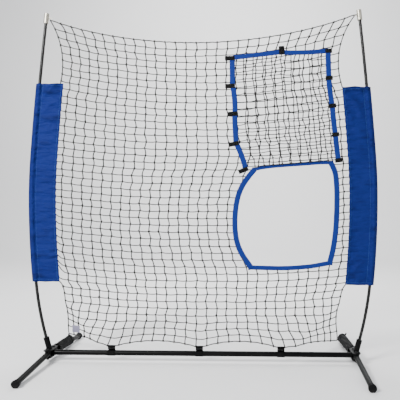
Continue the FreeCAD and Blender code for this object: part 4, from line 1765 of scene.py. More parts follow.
@dataclass
class Tape:
    """Folded fabric tape sewn along a line in the screen's plane."""

    width: float
    thick: float = 0.0054
    ripple: float = 0.0009
    inset: float = 0.0035
    uneven: float = 0.03
    edge_thick: float = 0.0003
    shares: tuple[float, ...] = (-1.0, -0.97, -0.82, -0.4, 0.4, 0.82, 0.97, 1.0)

    def strip(
        self, name: str, points: Sequence[Point2], y: float, material: Any, seed: float
    ) -> bpy.types.Object:
        """A tape along points, with slightly rounded edges and small waves.

        Args:
            name: The strip's name.
            points: Its centreline, as (x, z).
            y: Its depth.
            material: Its finish.
            seed: Shifts its waves.

        Returns:
            The strip: a closed mesh.
        """
        rows = []
        for k, (x, z) in enumerate(points):
            nx, nz = self.across(points, k)
            front, back = [], []
            for share in self.shares:
                at = share * self.width / 2 * (1 + self.uneven * wave((x, 0, z), 22.0, seed + share))
                bulge = self.thick / 2 * math.sqrt(max(1 - share**8, 0.0)) + self.edge_thick
                px, pz = x + nx * at, z + nz * at
                sway = self.ripple * wave((px, 0, pz), 30.0, seed)
                front.append(Vector((px, y - bulge + sway, pz)))
                back.append(Vector((px, y + bulge + sway, pz)))
            rows.append(front + back[::-1])
        n, m = len(rows), len(rows[0])
        faces = []
        for i in range(0, (n - 1) * m, m):
            faces += [(i + j, i + k, i + m + k, i + m + j) for j, k in zip(range(m), [*range(1, m), 0])]
        faces += [tuple(range(m - 1, -1, -1)), tuple(range((n - 1) * m, n * m))]
        return shade(place_mesh(name, [p for row in rows for p in row], faces), material)

    def across(self, points: Sequence[Point2], k: int) -> Point2:
        """The direction across the tape at one of its points.

        Args:
            points: The tape's centreline.
            k: Which of its points.

        Returns:
            The X and Z of the unit direction.
        """
        (x0, z0), (x1, z1) = points[max(k - 1, 0)], points[min(k + 1, len(points) - 1)]
        run = math.hypot(x1 - x0, z1 - z0)
        return -(z1 - z0) / run, (x1 - x0) / run

    def seams(self, points: Sequence[Point2], y: float) -> list[list[Vector]]:
        """The two lines of stitching on the tape's front, along its centreline at depth y.

        Args:
            points: The tape's centreline.
            y: The tape's depth.

        Returns:
            The points of each line.
        """
        depth, out = y - self.thick / 2 - SEAM_LIFT, self.width / 2 - self.inset
        lines = [(*point, *self.across(points, k)) for k, point in enumerate(points)]
        return [[Vector((x + nx * at, depth, z + nz * at)) for x, z, nx, nz in lines] for at in (-out, out)]

    def sewn(
        self, shop: Workshop, name: str, points: Sequence[Point2], depths: Point2, seed: float
    ) -> list[bpy.types.Object]:
        """The tape in the shop's binding, and its stitching.

        Args:
            shop: The shared finishes and trees.
            name: The first part of their names.
            points: The tape's centreline.
            depths: The tape's depth and the stitching's.
            seed: Shifts the tape's waves.

        Returns:
            The strip and its stitches.
        """
        strip = self.strip(f"{name}_tape", points, depths[0], shop.binding, seed)
        seams = self.seams(points, depths[1])
        return [strip, shop.stitches(f"{name}_seams", seams, Sewing.TAPE)]


@dataclass
class WindowBinding:
    """The blue tape round the window, in four strips."""

    shop: Workshop
    window: Window = field(default_factory=Window)
    side_width: float = 0.033
    sill_width: float = 0.027
    head_width: float = 0.022
    step: float = 0.0004
    past_sill: float = 0.46
    past_side: float = 0.42

    def build(self) -> None:
        """Builds the four strips and their stitching."""
        edges = (self.window.left, self.window.right, self.window.sill)
        left, right, sill = (through(marks, 8) for marks in edges)
        head = through(self.window.head, 10)
        down, out = self.sill_width * self.past_sill, self.side_width * self.past_side
        for side in (left, right):
            side[0] = (side[0][0], side[0][1] - down)
        head[0], head[-1] = (head[0][0] - out, head[0][1]), (head[-1][0] + out, head[-1][1])
        strips = {"left": (left, self.side_width), "right": (right, self.side_width)}
        strips |= {"bottom": (sill, self.sill_width), "top": (head, self.head_width)}
        for k, (name, (points, width)) in enumerate(strips.items()):
            y = SCREEN_Y + (self.step if name in ("bottom", "top") else 0.0)
            parts = Tape(width).sewn(self.shop, f"window_{name}", points, (y, y), 3.0 * k)
            piece = merged(f"window_{name}_tape_sewn", parts)
            hand_over(piece, "blue_binding", f"window_{name}_binding", body="base")


@dataclass(frozen=True)
class FlapEdge:
    """One taped edge of the flap: the middle of its tape at the tabs, and how tape and tabs sit.

    Attributes:
        marks: The middle of the tape, from the bottom up or from the left.
        sags: How far the tape eases inward between each mark and the next.
        width: The tape's width.
        tail: How far the tape runs on past its first mark.
        tabbed: Which marks carry a tab.
        proud: How far a tab stands out past the tape.
        reach: A tab's length.
        breadth: A tab's width.
    """

    marks: tuple[Point2, ...]
    sags: tuple[float, ...]
    width: float
    tail: float
    tabbed: tuple[int, ...]
    proud: float
    reach: float
    breadth: float

    def inward(self, at: Point2, toward: Vector) -> Vector:
        """The direction across the tape at a point of its line, to the flap's middle.

        Args:
            at: The point.
            toward: The flap's middle.

        Returns:
            The unit direction in X and Z.
        """
        line = np.array(self.marks)
        k = int(np.argmin(np.hypot(*(line - at).T)))
        (x0, z0), (x1, z1) = line[max(k - 1, 0)], line[min(k + 1, len(line) - 1)]
        across = Vector((-(z1 - z0), x1 - x0)).normalized()
        return across if across.dot(toward - Vector(at)) > 0 else -across

    def line(self, toward: Vector, steps: int = 14) -> list[Point2]:
        """The middle of the tape from its first mark to its last.

        Args:
            toward: The flap's middle.
            steps: How many steps from mark to mark.

        Returns:
            The points.
        """
        found = [self.marks[0]]
        for a, b, sag in zip(self.marks, self.marks[1:], self.sags):
            across = self.inward(a, toward).lerp(self.inward(b, toward), 0.5)
            for n in range(1, steps + 1):
                t = n / steps
                spot = Vector(a).lerp(Vector(b), t) + across * (sag * (4 * t * (1 - t)) ** 0.6)
                found.append((spot.x, spot.y))
        return found

    def taped(self, toward: Vector) -> list[Point2]:
        """The line with its tail.

        Args:
            toward: The flap's middle.

        Returns:
            The points.
        """
        points = self.line(toward)
        if not self.tail:
            return points
        (x0, z0), (x1, z1) = points[:2]
        back = (Vector((x0, z0)) - Vector((x1, z1))).normalized() * self.tail
        return [(x0 + back.x, z0 + back.y)] + points


@dataclass
class Flap:
    """The net flap stowed above the window: its own net, a tape on three sides and black tabs."""

    shop: Workshop
    middle: Point2 = (0.52, 1.55)
    left: FlapEdge = FlapEdge(
        marks=((0.266, 1.1913), (0.212, 1.3335), (0.2035, 1.514), (0.189, 1.683), (0.188, 1.851)),
        sags=(0.005, -0.001, 0.007, 0.001), width=0.0325, tail=0.016,
        tabbed=(0, 1, 2, 3, 4), proud=0.024, reach=0.058, breadth=0.026,
    )
    right: FlapEdge = FlapEdge(
        marks=((0.8285, 1.2356), (0.8113, 1.3853), (0.7931, 1.5589), (0.7725, 1.7266), (0.768, 1.891)),
        sags=(0.001, 0.002, 0.003, 0.001), width=0.0325, tail=0.006,
        tabbed=(0, 1, 2, 3, 4), proud=0.004, reach=0.040, breadth=0.025,
    )
    top: FlapEdge = FlapEdge(
        marks=((0.195, 1.855), (0.489, 1.887), (0.768, 1.894)),
        sags=(0.001, 0.008), width=0.028, tail=0.0, tabbed=(1,), proud=0.018, reach=0.048, breadth=0.034,
    )
    offset: float = -0.009
    columns: int = 10
    rows: int = 15
    twine: TwineSize = TwineSize(0.0025, 1.2, 0.0160, 0.0104)
    tuck: float = 0.01
    top_share: float = 0.995
    loose: Triple = (0.0055, 0.0015, 0.004)
    stagger: float = 0.003
    sway: float = 0.0045
    sag: float = 0.002
    lace_foot: float = 0.003
    tab_thick: float = 0.0011
    tab_gap: float = 0.0031
    tab_flare: float = 0.0006
    tab_nose: float = 0.0040
    seam_in: float = 0.004
    tape_thick: float = 0.0052
    tape_ripple: float = 0.0012
    top_step: float = 0.0003

    @property
    def edges(self) -> dict[str, FlapEdge]:
        """The three taped edges by name."""
        return {"left": self.left, "right": self.right, "top": self.top}

    def share(self, i: float) -> float:
        """The share across of a column, with the outer ones tucked under the tape."""
        return self.tuck + (1 - 2 * self.tuck) * i / self.columns

    def spot(self, u: float, v: float) -> Vector:
        """A point of the flap's net, by shares across and up, with its lowest row on the hinge line.

        Args:
            u: The share across, from the left edge.
            v: The share up, from the hinge.

        Returns:
            The place.
        """
        toward = Vector(self.middle)
        left, right, top = (np.array(self.edges[name].line(toward)) for name in ("left", "right", "top"))
        at = {}
        for name, line, share in (("left", left, v), ("right", right, v), ("top", top, u)):
            at[name] = np.array([np.interp(share, np.linspace(0, 1, len(line)), line[:, k]) for k in (0, 1)])
        low = (1 - u) * left[0] + u * right[0]
        flat = (1 - v) * low + v * at["top"] + (1 - u) * at["left"] + u * at["right"]
        corners = (1 - v) * low + (1 - u) * v * left[-1] + u * v * right[-1]
        x, z = flat - corners
        return Vector((x, SCREEN_Y + self.offset, z))

    def net(self) -> bpy.types.Object:
        """The flap's own net, sewn under the tape on three sides and to the window's head.

        Returns:
            The net.
        """
        strands = Strands()
        shifts = np.random.RandomState(23).uniform(-1, 1, (self.columns + 1, self.rows + 1, 3))

        def knot(i: int, j: int) -> Vector:
            """The place of a knot, with its small shift inside the tape.

            Args:
                i, j: The knot's column and row.

            Returns:
                The place.
            """
            inner = 0 < i < self.columns and 0 < j < self.rows
            spot = self.spot(self.share(i), self.top_share * j / self.rows)
            if inner:
                x, y, z = (loose * shift for loose, shift in zip(self.loose, shifts[i, j]))
                spot += Vector((x + self.stagger * turnabout(j), y, z))
            return spot

        for i in range(self.columns + 1):
            for j in range(self.rows + 1):
                here = knot(i, j)
                if 0 < i < self.columns and 0 < j < self.rows:
                    strands.knots.append(here)
                for di, dj in ((1, 0), (0, 1)):
                    if i + di > self.columns or j + dj > self.rows:
                        continue
                    if (di and j == self.rows) or (dj and i in (0, self.columns)):
                        continue
                    there = knot(i + di, j + dj)
                    middle = (here + there) / 2
                    bend = self.sway * wave(middle, 35.0, 2.0)
                    middle += Vector((bend if dj else 0, 0, bend - self.sag if di else 0))
                    ease = bend * 0.2
                    quarter = (here + middle) / 2 + Vector((ease if dj else 0, 0, ease if di else 0))
                    strands.add_run([here, quarter, middle, there], 1.0 if di else self.twine.upright)
        return strands.build("flap_twine", self.shop, self.twine, 9)

    def lacing(self, window: Window) -> bpy.types.Object:
        """Short twines from the window's head tape up to the flap's lowest row.

        Args:
            window: The window.

        Returns:
            The twines.
        """
        strands = Strands()
        for i in range(1, self.columns):
            end = self.spot(self.share(i), 0.0)
            foot = Vector((end.x, SCREEN_Y, window.level_z(1, end.x) + self.lace_foot))
            strands.add_run([foot, foot.lerp(end, 0.5) + Vector((0.001, -0.001, 0)), end], self.twine.upright)
            strands.knots.append(end)
        return strands.build("flap_hinge_lacing", self.shop, self.twine, 10)

    def tab(self, name: str, edge: FlapEdge, at: Point2, seed: float) -> bpy.types.Object:
        """A black strip folded round the flap's edge, with a stitched box on its front.

        Args:
            name: The tab's name.
            edge: The edge that it wraps.
            at: The middle of the tape there.
            seed: Shifts its small waves.

        Returns:
            The tab.
        """
        inward = edge.inward(at, Vector(self.middle))
        side = Vector((-inward.y, inward.x))
        start = Vector(at) - inward * (edge.width / 2 + edge.proud)
        y = SCREEN_Y + self.offset
        out, nose = self.tab_gap + self.tab_flare, 0.0012
        path: list[Point2] = [(edge.reach - 0.002, -self.tab_gap - 0.0004)]
        path += [(edge.reach * k / 5, -out) for k in (4, 3, 2, 1)]
        for k in range(7):
            a = math.pi / 2 + math.pi * k / 6
            path.append((-nose + nose * math.cos(a) * 1.4, -self.tab_nose * math.sin(a)))
        path += [(edge.reach * k / 5, out) for k in (1, 2, 3, 4, 5)]
        rows = []
        for along, depth in path:
            row = []
            for share in (-1, -0.5, 0, 0.5, 1):
                spot = start + inward * along + side * (share * edge.breadth / 2)
                lift = 0.0004 * wave((spot.x, 0, spot.y), 90.0, seed)
                row.append(Vector((spot.x, y + depth + lift, spot.y)))
            rows.append(row)
        strip = shell(name, rows, self.tab_thick, self.shop.webbing)
        inset = edge.breadth / 2 - 0.003
        near, far = self.seam_in, edge.reach - self.seam_in
        box = []
        for along, aside in ((near, -inset), (far, -inset), (far, inset), (near, inset)):
            spot = start + inward * along + side * aside
            box.append(Vector((spot.x, y - self.tab_gap - 0.0012, spot.y)))
        sewn = self.shop.stitches(f"{name}_seams", crossed_box(box), Sewing.TAB)
        return merged(name, [strip, sewn])

    def build(self) -> None:
        """Builds the flap's net, tape and tabs on the flap's body."""
        hand_over(self.net(), "net_cord", "flap_net", body="flap")
        hand_over(self.lacing(Window()), "net_cord", body="base")
        y, toward = SCREEN_Y + self.offset, Vector(self.middle)
        parts, tabs = [], []
        for k, (name, edge) in enumerate(self.edges.items()):
            tape, line = Tape(edge.width, self.tape_thick, self.tape_ripple), edge.taped(toward)
            depth = y + (self.top_step if name == "top" else 0)
            parts += tape.sewn(self.shop, f"flap_{name}", line, (depth, y), 40.0 + k)
            for at in edge.tabbed:
                place = edge.marks[at] if at else line[0]
                tabs.append(self.tab(f"flap_tab_{len(tabs)}", edge, place, 5.0 * len(tabs)))
        hand_over(merged("flap_tape", parts), "blue_binding", "flap_binding", body="flap")
        hand_over(merged("flap_tabs_sewn", tabs), "black_webbing", "flap_tabs", body="flap")


# Sleeves


@dataclass(frozen=True)
class DragFolds:
    """Slanted folds that fade away from one end of a sleeve.

    Attributes:
        depth: Their depth at the end.
        fade: The distance over which they fade.
        count, slant: How fast they follow one another up the sleeve and across it, in radians a metre.
        drift: How much noise sways them.
        phase: Where they start, in radians.
    """

    depth: float
    fade: float
    count: float
    slant: float
    drift: float
    phase: float = 0.0

    def at(self, apart: float, a: float, z: float, drift: float) -> float:
        """How far the cloth stands forward in the folds."""
        turn = z * self.count + a * self.slant + self.drift * drift + self.phase
        return self.depth * (math.exp(-apart / self.fade) * (1 - abs(math.sin(turn))))


@dataclass
class Sleeve:
    """A blue banner stretched between the pole and the net, with the pole in its outer pocket.

    Offsets across are from the pole, outward. A seam is an offset from its edge and a lift off the cloth.

    Attributes:
        inner, outer, seam_at, overlap: Where the cloth ends, turns back, is sewn and ends behind.
        gathers: The depth of the gathers between the net's rows, left and right.
        laced: The share across from which the lacing holds the cloth, and how much it holds.
        clear_heights, clear_across: Where the right sleeve lies flat to clear the closed flap.
        clear_most, clear_back: How far forward the cloth may stand there, and how far it lies back.
        inner_hem: The offsets and lifts of the inner hem's cross-section.
    """

    shop: Workshop
    name: str
    inner: float = -0.147
    outer: float = 0.022
    thick: float = 0.0012
    seam_at: float = -0.021
    overlap: float = -0.036
    hem: float = 0.016
    row_gap: float = ROW_GAP
    gathers: Point2 = (0.0036, 0.0062)
    off_plane: float = 0.0009
    over_pole: float = 0.0098
    pole_half: float = 0.0115
    pocket_slack: float = 0.0022
    top_folds: DragFolds = DragFolds(0.020, 0.16, 26.0, 34.0, 1.6)
    foot_folds: DragFolds = DragFolds(0.014, 0.12, 33.0, -30.0, 1.2, 0.7)
    broad_fold: float = 0.0075
    fine_fold: float = 0.0024
    lap: float = 0.020
    laced: Point2 = (0.84, 0.8)
    clear_heights: Point2 = (0.84, 0.66)
    clear_across: Point2 = (0.35, 0.70)
    clear_most: float = 0.0015
    clear_back: float = 0.0035
    scallop: float = 0.0009
    back_share: float = 0.4
    slack: float = 0.0012
    hem_thick: float = 0.0010
    hem_lift: float = 0.0011
    inner_hem: tuple[Point2, ...] = ((-0.0012, 0.0018), (0.004, 0.0018), (0.008, 0.0012), (0.0125, 0.0012))
    pocket_seam: Point2 = (-0.001, 0.0009)
    inner_seam: Point2 = (0.011, 0.0023)
    end_seam: Point2 = (0.002, 0.0020)
    rows: int = 200
    reach: float = 0.02
    pocket_steps: tuple[float, ...] = (
        -0.016, -0.0125, -0.009, -0.005, 0.0, 0.005, 0.009, 0.0125, 0.016, 0.0195,
    )

    def __post_init__(self) -> None:
        """Reads its side and height."""
        self.side = SIDES[self.name]
        self.low, self.high = SLEEVE_RANGE[self.side]

    def pocket(self, a: float) -> float:
        """How far the cloth stands off the middle plane over the pole.

        Args:
            a: The offset across the pole.

        Returns:
            The distance.
        """
        if a <= self.seam_at:
            return self.off_plane
        t = (a - self.seam_at) / (self.outer - self.seam_at)
        over = math.exp(-((a / self.pole_half) ** 4))
        slack = self.pocket_slack * math.sin(math.pi * min(max(t, 0), 1))
        return self.off_plane + self.over_pole * over + slack

    def ripple(self, a: float, z: float) -> Point2:
        """The banner's folds at a place.

        Args:
            a: The offset across the pole.
            z: The height.

        Returns:
            The shift forward and the shift across.
        """
        inward = min(max((self.seam_at - a) / (self.seam_at - self.inner), 0.0), 1.0)
        middle = math.sin(math.pi * inward) ** 0.6
        start, share = self.laced
        held = 1 - share * smooth(start, 1.0, inward)
        spot = Vector((a, 0.0, z + 3.0 * self.side))
        drift = wave(spot, 7.0)
        top = self.top_folds.at(self.high - z, a, z, drift)
        fold = (top + self.foot_folds.at(z - self.low, a, z, drift)) * middle
        gather = math.sin(2 * math.pi * z / self.row_gap + 2.6 * wave(spot, 6.0))
        gather += 0.6 * wave((a * 0.5, 0, z), 60.0, 2.0)
        fold += of_side(self.gathers, self.side) * gather * inward**2.2 * held
        fold += self.broad_fold * wave((a * 0.4, 0, z), 8.0, 4.0 + self.side) * middle
        fold += self.fine_fold * wave((a, 0, z * 2.0), 34.0, 9.0) * inward * held
        if self.side > 0:
            clear = smooth(*self.clear_heights, z) * smooth(*self.clear_across, inward)
            fold += clear * (min(fold, self.clear_most) - self.clear_back * held - fold)
        scallop = self.scallop * math.cos(2 * math.pi * z / self.row_gap) * inward**6
        return -fold, -scallop

    def point(self, a: float, z: float, front: bool) -> Vector:
        """A point of the cloth's middle surface.

        Args:
            a: The offset across the pole.
            z: The pole's height.
            front: Whether the point is on the front layer.

        Returns:
            The place.
        """
        shift, across = self.ripple(a, z)
        x, height = POLE.across(z, a + across)
        level = min(max(height, self.low), self.high)
        x = POLE.offset_x(level, a + across) if level != height else x
        depth = self.pocket(a)
        y = -depth + shift if front else depth + shift * self.back_share
        if a > self.seam_at:
            slack = self.slack * max(wave((a, 0, z), 24.0, 6.0 + self.side), 0.0)
            y = -depth - slack if front else depth + slack
        return Vector((self.side * x, SCREEN_Y + y, level))

    def build(self) -> None:
        """Builds the cloth, its hems and its stitching."""
        front = [*np.linspace(self.inner, self.seam_at, 24), *self.pocket_steps]
        back = [*self.pocket_steps[::-1], self.seam_at, *np.linspace(self.seam_at, self.overlap, 4)[1:]]
        rows = []
        for k in range(self.rows + 1):
            z = self.low - self.reach + (self.high - self.low + 2 * self.reach) * k / self.rows
            tip = self.point(self.outer, z, True)
            row = [self.point(a, z, True) for a in front] + [Vector((tip.x, SCREEN_Y, tip.z))]
            row += [self.point(a, z, False) for a in back]
            if self.inside(row):
                rows.append(row)
        piece = self.cut("banner_sewn", rows, self.thick)
        hems = self.hems()
        seams = self.shop.stitches(f"{self.name}_banner_seams", self.seam_runs(), Sewing.BANNER)
        trim = merged(f"{self.name}_banner_hems", [*hems, seams])
        hand_over(piece, "blue_fabric", f"{self.name}_sleeve", body="base")
        hand_over(trim, "blue_fabric", body="base")
        width = (self.seam_at - self.inner) + 2 * (self.outer - self.seam_at) + self.lap
        width += self.seam_at - self.overlap

    def inside(self, row: Sequence[Vector]) -> bool:
        """Whether a row of the cloth lies between the sleeve's ends."""
        heights = [p.z for p in row]
        return max(heights) - min(heights) > 1e-6 or self.low < heights[0] < self.high

    def cut(self, name: str, rows: Runs, thick: float) -> bpy.types.Object:
        """A sheet of the sleeve's cloth through rows of points, facing outward.

        Args:
            name: The last part of its name.
            rows: The points, row by row.
            thick: Its thickness.

        Returns:
            The sheet.
        """
        sheet = shell(f"{self.name}_{name}", rows, thick, self.shop.sleeve)
        if self.side < 0:
            sheet.data.flip_normals()
        return sheet

    def on_front(self, a: float, z: float, lift: float) -> Vector:
        """A point a little in front of the cloth, at a true height."""
        return self.point(a, POLE.height_for(z, a), True) + FRONT * lift

    def hems(self) -> list[bpy.types.Object]:
        """The folded hems along the inner edge and both ends.

        Returns:
            The three hems.
        """
        heights = np.linspace(self.low + 0.002, self.high - 0.002, 170)
        inner = [[self.on_front(self.inner + a, z, lift) for a, lift in self.inner_hem] for z in heights]
        found = {"inner": inner}
        across = np.linspace(self.inner + 0.001, self.outer - 0.004, 60)
        for end, z0 in (("low", self.low + 0.001), ("high", self.high - self.hem - 0.001)):
            steps = [z0 + self.hem * k / 3 for k in range(4)]
            found[end] = [[self.on_front(a, z, self.hem_lift) for a in across] for z in steps]
        return [self.cut(f"{name}_hem", rows, self.hem_thick) for name, rows in found.items()]

    def seam_runs(self) -> list[list[Vector]]:
        """The lines of stitching: the pocket's seam, the inner hem and the two end hems.

        Returns:
            The points of each line.
        """
        heights = np.linspace(self.low + 0.004, self.high - 0.004, 240)
        across = np.linspace(self.inner + 0.004, self.outer - 0.006, 70)
        upright = ((self.seam_at, *self.pocket_seam), (self.inner, *self.inner_seam))
        runs = [[self.on_front(edge + a, z, lift) for z in heights] for edge, a, lift in upright]
        inside, lift = self.end_seam
        for z in (self.low + self.hem - inside, self.high - self.hem + inside):
            runs.append([self.on_front(a, z, lift) for a in across])
        return runs


# Straps, boots and label


@dataclass
class BaseStrap:
    """A webbing strap round the ground rail and up to a loop round the net's bottom rope.

    Attributes:
        rail_turn, rope_turn: The angles between which it lies round the rail and round the rope.
        rail_clear, rope_clear: Half the gap between its two layers, and the distance past the turn.
        box_heights: How far the stitched box is above the rail's axis and below the rope's.
        box_in, box_off: How far it is inside the strap's edges, and in front of the screen's plane.
    """

    shop: Workshop
    name: str
    x: float
    rail_radius: float = 0.016
    rope_radius: float = 0.0042
    thick: float = 0.0021
    rail_turn: Point2 = (118.0, 422.0)
    rope_turn: Point2 = (-62.0, 242.0)
    rail_clear: Point2 = (0.0030, 0.006)
    rope_clear: Point2 = (0.0022, 0.004)
    box_heights: Point2 = (0.0245, 0.009)
    box_in: float = 0.004
    box_off: float = 0.0046
    wavy: float = 0.0005

    def loop(self) -> list[Point2]:
        """The strap's path in the upright plane across the rail, as (y, z).

        Returns:
            The path's points.
        """
        r, s = self.rail_radius + self.thick / 2 + 0.0002, self.rope_radius + self.thick / 2
        (rail_y, rail_up), (rope_y, rope_down) = self.rail_clear, self.rope_clear
        rise, fall = RAIL_Z + r + rail_up, BOTTOM_Z - s - rope_down
        path = self.wrap(RAIL_Z, r, self.rail_turn, 24) + [(rail_y, rise), (rope_y, fall)]
        return path + self.wrap(BOTTOM_Z, s, self.rope_turn, 12) + [(-rope_y, fall), (-rail_y, rise)]

    def wrap(self, z: float, radius: float, turn: Point2, steps: int) -> list[Point2]:
        """The part of the path round the rail or the rope."""
        angles = (math.radians(turn[0] + (turn[1] - turn[0]) * k / steps) for k in range(steps + 1))
        return [(radius * math.cos(a), z + radius * math.sin(a)) for a in angles]

    def build(self) -> None:
        """Builds the strap and its stitched box."""
        rows = []
        for y, z in self.loop():
            across = [self.x + share * STRAP_HALF for share in (-1, -0.6, -0.2, 0.2, 0.6, 1)]
            lifts = [self.wavy * wave((x, y, z), 60.0, self.x) for x in across]
            rows.append([Vector((x, SCREEN_Y + y, z + lift)) for x, lift in zip(across, lifts)])
        strap = shell(f"{self.name}_webbing", rows, self.thick, self.shop.webbing)
        y, half = SCREEN_Y - self.box_off, STRAP_HALF - self.box_in
        low, high = RAIL_Z + self.box_heights[0], BOTTOM_Z - self.box_heights[1]
        box = [Vector((self.x + a * half, y, z)) for a, z in ((-1, low), (1, low), (1, high), (-1, high))]
        seams = self.shop.stitches(f"{self.name}_seams", crossed_box(box), Sewing.WEBBING)
        hand_over(merged(f"{self.name}_sewn", [strap, seams]), "black_webbing", self.name, body="base")


@dataclass
class Boot:
    """The gathered cloth boot on a rear leg, and the webbing band that the net's corner ties to.

    A pair is for the left and then the right boot, apart from the seams' and the band's places.

    Attributes:
        mouths, ups, downs: Half the mouth's width, and how far it is above and below the leg's axis.
        least: The least radius, which clears the leg.
        drawn_in: How far the cloth is drawn in from its plain form.
        band_span: Where the band starts and ends, from the mouth.
        loop_foot: The loop's lower points, as half its gap and its height.
        loop_arch: Half the width, the height and the foot of the loop's round end.
    """

    shop: Workshop
    name: str
    start: float = 0.046
    neck: float = 0.0282
    mouths: Point2 = (0.0285, 0.0325)
    ends: Point2 = (0.290, 0.425)
    ups: Point2 = (0.040, 0.042)
    downs: Point2 = (0.024, 0.0175)
    loop_turns: Point2 = (0.0, 28.0)
    least: float = 0.0172
    girth_radius: float = 0.0265
    folds: int = 9
    points: int = 48
    thick: float = 0.0012
    gather: float = 0.0021
    pinch: float = 0.0012
    drawn_in: float = 0.0016
    soft: float = 0.0012
    rings: int = 80
    neck_seams: Point2 = (0.006, 0.010)
    mouth_seam: float = 0.004
    band_span: Point2 = (0.037, 0.012)
    band_lift: float = 0.0020
    band_thick: float = 0.0018
    loop_thick: float = 0.0014
    loop_half: float = 0.008
    loop_foot: tuple[Point2, ...] = ((0.0022, -0.002), (0.0026, 0.006))
    loop_arch: Triple = (0.0026, 0.0035, 0.011)
    foot_reach: float = 0.500
    tip_z: float = 0.021
    rear_pivot: float = 0.050

    def __post_init__(self) -> None:
        """Reads its side's lengths."""
        self.side = SIDES[self.name]
        pairs = (self.ends, self.mouths, self.ups, self.downs)
        self.end, *self.mouth = (of_side(pair, self.side) for pair in pairs)
        self.pivot = Vector((self.side * HUB_X, SCREEN_Y + self.rear_pivot, RAIL_Z))
        tip = Vector((self.side * HUB_X, self.foot_reach, self.tip_z))
        self.run = (tip - self.pivot).normalized()
        self.lift = Vector((1, 0, 0)).cross(self.run).normalized()
        if self.lift.z < 0:
            self.lift = -self.lift

    def place(self, along: float, across: float, up: float) -> Vector:
        """A point given along the leg, across it and above it."""
        return self.pivot + self.run * along + Vector((1, 0, 0)) * across + self.lift * up

    def radius(self, along: float, angle: float) -> float:
        """The boot's middle surface from the leg's axis.

        Args:
            along: The distance along the leg.
            angle: The angle round it, from straight up.

        Returns:
            The radius there.
        """
        share = (along - self.start) / (self.end - self.start)
        half, up, down = (self.neck + (end - self.neck) * share for end in self.mouth)
        tall = up if math.cos(angle) > 0 else down
        base = 1 / math.sqrt((math.sin(angle) / half) ** 2 + (math.cos(angle) / tall) ** 2)
        spot = Vector((math.cos(angle), math.sin(angle), along * 22.0 + self.side))
        fold = math.sin(self.folds * angle + 2.4 * wave(spot, 1.0) + along * 30.0)
        gather = self.gather * fold * (0.35 + 0.65 * (1 - share)) + self.soft * wave(spot, 2.3, 5.0)
        pinch = self.pinch * math.exp(-((along - self.end + sum(self.band_span) / 2) / 0.016) ** 2)
        return max(base - self.drawn_in + gather - pinch, self.least)

    def ring(
        self, along: float, lift: float = 0.0, girth_at: float | None = None, closed: bool = False
    ) -> list[Vector]:
        """Points round the leg.

        Args:
            along: Where the ring lies along the leg.
            lift: How far it stands off the boot's middle surface.
            girth_at: Where the boot's girth is taken, if not there.
            closed: Whether the last point meets the first.

        Returns:
            The points.
        """
        found = []
        for c in range(self.points + closed):
            angle = 2 * math.pi * c / self.points
            r = self.radius(along if girth_at is None else girth_at, angle) + lift
            found.append(self.place(along, r * math.sin(angle), r * math.cos(angle)))
        return found

    def build(self) -> None:
        """Builds the boot, its hem stitches, the band and the band's loop."""
        length = self.end - self.start
        rows = [self.ring(self.start + length * k / self.rings) for k in range(self.rings + 1)]
        piece = shell(f"{self.name}_boot_sewn", rows, self.thick, self.shop.boot, ring=True)
        places = [*(self.start + along for along in self.neck_seams), self.end - self.mouth_seam]
        runs = [self.ring(along, self.thick / 2 + SEAM_LIFT, closed=True) for along in places]
        seams = self.shop.stitches(f"{self.name}_boot_seams", runs, Sewing.WEBBING)
        band, body = self.band(), f"{self.name}_rear_leg_body"
        hand_over(piece, "black_webbing", f"{self.name}_corner_boot", body=body)
        hand_over(seams, "black_webbing", body=body)
        hand_over(band, "black_webbing", f"{self.name}_boot_band", body=body)

    def band(self) -> bpy.types.Object:
        """The webbing band round the boot's mouth, with its folded loop.

        Returns:
            The band.
        """
        first, last = (self.end - along for along in self.band_span)
        middle, webbing = (first + last) / 2, self.shop.webbing
        rows = [self.ring(first + (last - first) * k / 6, self.band_lift, middle) for k in range(7)]
        strap = shell(f"{self.name}_band_webbing", rows, self.band_thick, webbing, ring=True)
        turn = math.radians(of_side(self.loop_turns, self.side))
        base = self.radius(middle, turn) + 0.0025
        wide, tall, up = self.loop_arch
        arch = [math.pi * k / 12 for k in range(13)]
        path = [(aside, base + foot) for aside, foot in self.loop_foot]
        path += [(wide * math.cos(a), base + up + tall * math.sin(a)) for a in arch]
        path += [(-aside, base + foot) for aside, foot in self.loop_foot[::-1]]
        out, flat = Vector((math.sin(turn), math.cos(turn))), Vector((math.cos(turn), -math.sin(turn)))
        rows = []
        for aside, up in path:
            spot = out * up + flat * aside
            places = [middle + share * self.loop_half for share in (-1, -0.4, 0.4, 1)]
            rows.append([self.place(along, spot.x, spot.y) for along in places])
        loop = shell(f"{self.name}_band_loop", rows, self.loop_thick, webbing)
        return merged(f"{self.name}_band_sewn", [strap, loop])


